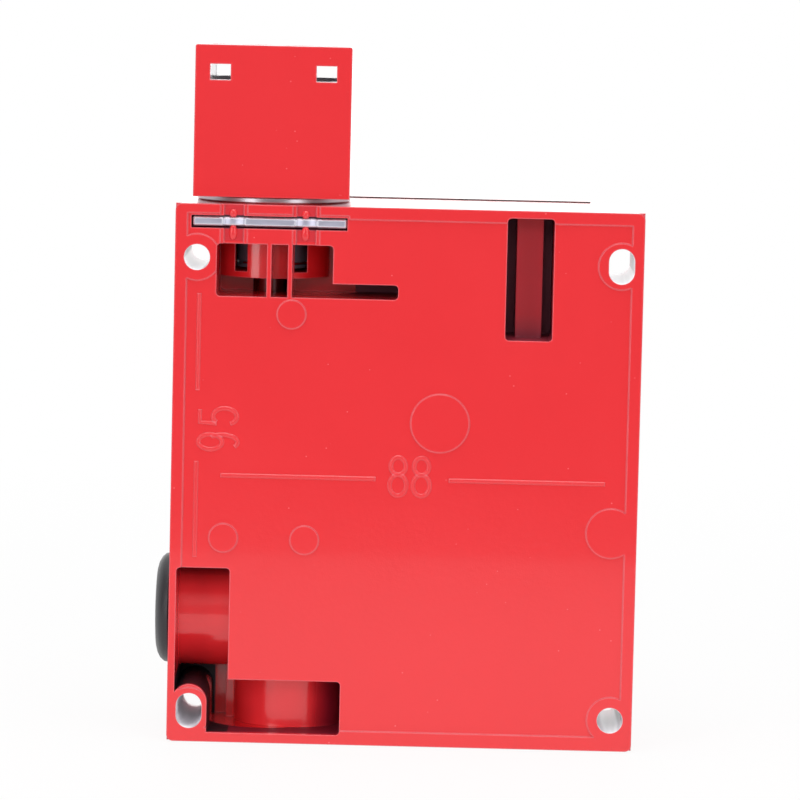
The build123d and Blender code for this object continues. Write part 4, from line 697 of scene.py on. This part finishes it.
# Staked nubs beside the clip
# Above and below each neck of the clip a nub of the casting stands in the channel. It is pressed over the clip.
red_nub = red_coat("red_coat_nub")
nub_radius = 0.00108
nub_seat_y = -0.00125
nub_aside = 0.0002
nub_buried = 0.0002
nub_places = [("above", 0.0567, 0.8), ("below", 0.0527, 1.5)]
for neck_x in clip_neck_places:
    for nub_name, nub_z, nub_length in nub_places:
        bpy.ops.mesh.primitive_uv_sphere_add(segments=20, ring_count=10, radius=nub_radius,
                                             location=(neck_x + nub_aside, nub_seat_y, nub_z))
        nub = bpy.context.object
        nub.name = f"stake_nub_{nub_name}_{round(neck_x * 10000)}"
        bpy.ops.object.transform_apply(location=True, rotation=True, scale=True)
        bpy.ops.object.mode_set(mode="EDIT")
        bpy.ops.mesh.select_all(action="SELECT")
        bpy.ops.transform.resize(value=(0.85, 0.6, nub_length), center_override=(neck_x, nub_seat_y, nub_z))
        bpy.ops.mesh.bisect(plane_co=(neck_x, nub_seat_y - nub_buried, nub_z), plane_no=(0, 1, 0),
                            clear_inner=True, use_fill=True)
        bpy.ops.object.mode_set(mode="OBJECT")
        paint(nub, red_nub, 50)
        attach(nub, "switch")
        bpy.ops.object.select_all(action="DESELECT")


# Plunger guide, contact housing and cable entry plug
# All are moulded in plastic: the guide is a smooth dark sleeve, painted grey as a stand-in for its reflections, and
# the housing and the plug are black with a fine spark-eroded skin. The plug's cap is turned round its axis, and a bar
# across it takes a screwdriver.
def moulded_plastic(name, colour, roughness, grain):
    """Moulded plastic or rubber with a fine skin and faint flow marks."""
    material, surface, wire = new_material(name)
    place = object_place(wire)
    skin = wire.node("TexNoise", {}, {"Vector": place, "Scale": 2600.0, "Detail": 2.0})
    flow = wire.node("TexNoise", {}, {"Vector": place, "Scale": 90.0, "Detail": 2.0})
    lighter = tuple(min(1.0, 1.18 * part + 0.004) for part in colour[:3]) + (1,)
    feed(surface, "Base Color", mix_colour(wire, flow, colour, lighter))
    feed(surface, "Roughness", roughness + flow * 0.08 + skin * 0.06 - 0.07)
    bump = wire.node("Bump", {}, {"Height": skin, "Strength": grain, "Distance": 0.0002})
    feed(surface, "Normal", bump)
    return material


def weld(threshold):
    """Joins points that meet, turns all faces outwards and leaves edit mode."""
    bpy.ops.mesh.select_all(action="SELECT")
    bpy.ops.mesh.remove_doubles(threshold=threshold)
    bpy.ops.mesh.normals_make_consistent(inside=False)
    bpy.ops.object.mode_set(mode="OBJECT")


black_grained = moulded_plastic("black_grained", (0.022, 0.022, 0.026, 1), 0.38, 0.25)
# The guide's grey is a painted reflection on dark plastic
dress(["plunger_guide"], moulded_plastic("guide_grey_painted_sheen", (0.200, 0.210, 0.280, 1), 0.20, 0.05))
dress(["contact_housing", "side_entry_plug"], black_grained)

plug_low, plug_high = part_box("side_entry_plug")
plug_centre = ((plug_low[1] + plug_high[1]) / 2, (plug_low[2] + plug_high[2]) / 2)
plug_face, plug_back = plug_high[0], plug_low[0]
plug_seat = plug_face - 0.0030
plug_radius = (plug_high[2] - plug_low[2]) / 2
spigot_radius = 0.0093
spigot_bore = 0.0064
spigot_web = 0.0015
# Half the plug's outline, from the middle of its face to the middle of its back, as place along X and radius
plug_profile = [
    (plug_face - 0.0007, 0.0), (plug_face - 0.0007, 0.0058), (plug_face - 0.0002, 0.0064),
    (plug_face, 0.0070), (plug_face - 0.0001, 0.0085), (plug_face - 0.0004, 0.0097),
    (plug_face - 0.0010, 0.0108), (plug_face - 0.0018, 0.0115), (plug_seat + 0.0002, plug_radius),
    (plug_seat, plug_radius - 0.0002), (plug_seat, spigot_radius), (plug_back, spigot_radius),
    (plug_back, spigot_bore), (plug_back + spigot_web, spigot_bore), (plug_back + spigot_web, 0.0),
]
plug = first_point("entry_plug_cap", plug_profile[0][0], plug_centre[0], plug_centre[1] + plug_profile[0][1])
for before, after in zip(plug_profile, plug_profile[1:]):
    bpy.ops.mesh.extrude_region_move(TRANSFORM_OT_translate={
        "value": (after[0] - before[0], 0, after[1] - before[1])})
bpy.ops.mesh.select_all(action="SELECT")
bpy.ops.mesh.spin(steps=72, angle=radians(360), center=(0, plug_centre[0], plug_centre[1]), axis=(1, 0, 0))
weld(0.00001)
paint(plug, black_grained, 35)
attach(plug, "switch")
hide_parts("side_entry_plug")
bpy.ops.object.select_all(action="DESELECT")

bar_size = (0.0008, 0.0124, 0.0024)
bar_sink = 0.0005
bpy.ops.mesh.primitive_cube_add(size=1, location=(plug_face - bar_sink, plug_centre[0], plug_centre[1]))
bar = bpy.context.object
bar.name = "entry_plug_bar"
bar.scale = bar_size
bpy.ops.object.transform_apply(location=True, rotation=True, scale=True)
round_edges(bar, "moulded_edges", 0.00035, 3)
paint(bar, black_grained, 35)
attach(bar, "switch")
bpy.ops.object.select_all(action="DESELECT")


# Seals of the cover and of the plug
# Both are black rubber. A thin black rubber lip stands along the top joint as painted shade: it draws the dark line
# that the joint's shadow makes on the white top.
seal_rubber = moulded_plastic("seal_rubber", (0.018, 0.018, 0.018, 1), 0.62, 0.30)
dress(["cover_gasket", "plug_seal"], seal_rubber)
seal_low, seal_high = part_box("cover_gasket")
seal_middle_y = (seal_low[1] + seal_high[1]) / 2
lip_reach = 0.0382
lip_rise = 0.00024
lip_root = 0.0003
# A dark strip standing in for the shadow of the top joint
bpy.ops.mesh.primitive_plane_add(size=1, location=(0, seal_middle_y, seal_high[2] - lip_root))
lip = bpy.context.object
lip.name = "joint_shadow_lip"
lip.scale = (2 * lip_reach, seal_high[1] - seal_low[1], 1)
bpy.ops.object.transform_apply(location=True, rotation=True, scale=True)
bpy.ops.object.mode_set(mode="EDIT")
bpy.ops.mesh.select_all(action="SELECT")
bpy.ops.mesh.extrude_region_move(TRANSFORM_OT_translate={"value": (0, 0, lip_root + lip_rise)})
bpy.ops.transform.resize(value=(0.998, 0.7, 1.0), center_override=(0, seal_middle_y, 0))
bpy.ops.mesh.select_all(action="SELECT")
bpy.ops.mesh.normals_make_consistent(inside=False)
bpy.ops.object.mode_set(mode="OBJECT")
round_edges(lip, "rolled_edges", 0.00012, 3)
paint(lip, seal_rubber, 35)
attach(lip, "switch")
bpy.ops.object.select_all(action="DESELECT")


# Snap ring of the plunger guide
# A sprung steel ring, open over a tenth of its round, sits in the guide's groove and shows through the neck windows.
guide_axis = (0.0290, -0.0195)
ring_height = 0.04555
ring_radius = 0.00735
ring_half = 0.00026
ring_sweep = radians(324)
ring_start = (guide_axis[0] + ring_radius, guide_axis[1], ring_height)
bpy.ops.mesh.primitive_circle_add(vertices=12, radius=ring_half, fill_type="NGON", rotation=(radians(90), 0, 0),
                                  location=ring_start)
snap_ring = bpy.context.object
snap_ring.name = "guide_snap_ring"
bpy.ops.object.transform_apply(location=True, rotation=True, scale=True)
bpy.ops.object.mode_set(mode="EDIT")
bpy.ops.mesh.select_all(action="SELECT")
bpy.ops.transform.resize(value=(0.9, 1.0, 1.2), center_override=ring_start)
bpy.ops.mesh.spin(steps=60, angle=ring_sweep, center=(guide_axis[0], guide_axis[1], 0), axis=(0, 0, 1))
weld(0.000005)
paint(snap_ring, steel("spring_wire", (0.88, 0.88, 0.90, 1), 0.10, 0.06), 40)
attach(snap_ring, "switch")
bpy.ops.object.select_all(action="DESELECT")


# Thread of the bottom cable entry
# The entry is tapped after casting, so its thread is bare metal. The crests stand a little inside the drilled bore.
entry_place = (0.0235, -0.0210)
entry_bottom = body_low[2]
entry_bore_radius = 0.00925
thread_pitch = 0.0015
thread_turns = 8
thread_steps = 48
thread_root = entry_place[0] + entry_bore_radius + 0.00015
thread_start = 0.0004
thread_profile = [(-0.0006, 0.0006), (0.0, 0.00025), (0.0006, 0.0006)]
thread = first_point("entry_thread", thread_root, entry_place[1], entry_bottom + thread_start)
for along, up in thread_profile:
    bpy.ops.mesh.extrude_region_move(TRANSFORM_OT_translate={"value": (along, 0, up)})
bpy.ops.object.mode_set(mode="OBJECT")
bpy.ops.object.transform_apply(location=True, rotation=True, scale=True)
thread.location = (-entry_place[0], -entry_place[1], 0)
bpy.ops.object.transform_apply(location=True, rotation=False, scale=False)
screw = thread.modifiers.new("thread_cut", "SCREW")
screw.axis = "Z"
screw.steps = thread_steps
screw.render_steps = thread_steps
screw.screw_offset = thread_pitch
screw.iterations = thread_turns
screw.use_merge_vertices = False
bpy.ops.object.modifier_apply(modifier=screw.name)
thread.location = (entry_place[0], entry_place[1], 0)
bpy.ops.object.transform_apply(location=True, rotation=False, scale=False)
bpy.ops.object.mode_set(mode="EDIT")
weld(0.000005)
paint(thread, steel("tapped_zinc", (0.74, 0.74, 0.77, 1), 0.30, 0.12, (1.0, 1.0, 3.0)), 30)
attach(thread, "switch")
bpy.ops.object.select_all(action="DESELECT")


# Inner works
# Zinc plated steel, silvered strips, ivory and grey mouldings, and the copper winding, all screwed or clipped in
# behind the cover. The key barrel and the two pilot lenses reach through it to the front.
zinc_plate = steel("zinc_plate", (0.60, 0.61, 0.63, 1), 0.32, 0.12, (1.0, 1.0, 0.4))
dress(["cover_screws", "inner_screws", "earth_screw", "terminal_screws", "strip_screws", "head_plunger",
       "spring_washer", "drum_axle", "latch_bracket", "solenoid_yoke", "armature", "lock_latch", "latch_pin",
       "release_cam", "release_lock_nut"], zinc_plate)
dress(["release_lock_barrel"], steel("lock_chrome", (0.80, 0.80, 0.82, 1), 0.10, 0.06))
dress(["release_rotor", "earth_washer"], steel("plain_brass", (0.78, 0.58, 0.25, 1), 0.26, 0.12))
dress(["contact_bridges", "fixed_contacts"], steel("silvered_strip", (0.86, 0.85, 0.82, 1), 0.25, 0.12))
dress(["contact_cover", "cam_drum"], moulded_plastic("grey_moulding", (0.20, 0.21, 0.23, 1), 0.40, 0.15))
dress(["contact_plunger", "coil_bobbin", "terminal_strip", "pilot_lamps"],
      moulded_plastic("ivory_moulding", (0.72, 0.70, 0.62, 1), 0.42, 0.12))
dress(["pilot_board"], moulded_plastic("board_green", (0.02, 0.15, 0.06, 1), 0.35, 0.10))
dress(["pilot_lens_left"], moulded_plastic("amber_lens", (0.90, 0.36, 0.02, 1), 0.12, 0.02))
dress(["pilot_lens_right"], moulded_plastic("green_lens", (0.02, 0.45, 0.12, 1), 0.12, 0.02))
dress(["solenoid_coil"], steel("copper_winding", (0.72, 0.30, 0.14, 1), 0.30, 0.20, (3.0, 0.02, 0.02)))


# Springs of the plunger and of the lock latch
# Wound from plated wire. One end stands on the bracket and the other on the part it pushes.
# Each spring with the body that it pushes, the axis along its wire's coil, and which of its ends is seated
springs = [("return_spring", "plunger", 2, 0), ("latch_spring", "latch", 0, 1)]
for spring_node, pushed_body, along, seat_end in springs:
    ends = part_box(spring_node)
    middle = [(low + high) / 2 for low, high in zip(*ends)]
    seat, pushed = list(middle), list(middle)
    seat[along] = ends[seat_end][along]
    pushed[along] = ends[1 - seat_end][along]
    coil = copy_of(spring_node, spring_node + "_coil")
    bpy.ops.object.parent_clear(type="CLEAR_KEEP_TRANSFORM")
    bpy.ops.object.mode_set(mode="EDIT")
    weld(0.00001)
    paint(coil, zinc_plate, 70)
    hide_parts(spring_node)
    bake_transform(coil)
    bpy.ops.object.select_all(action="DESELECT")
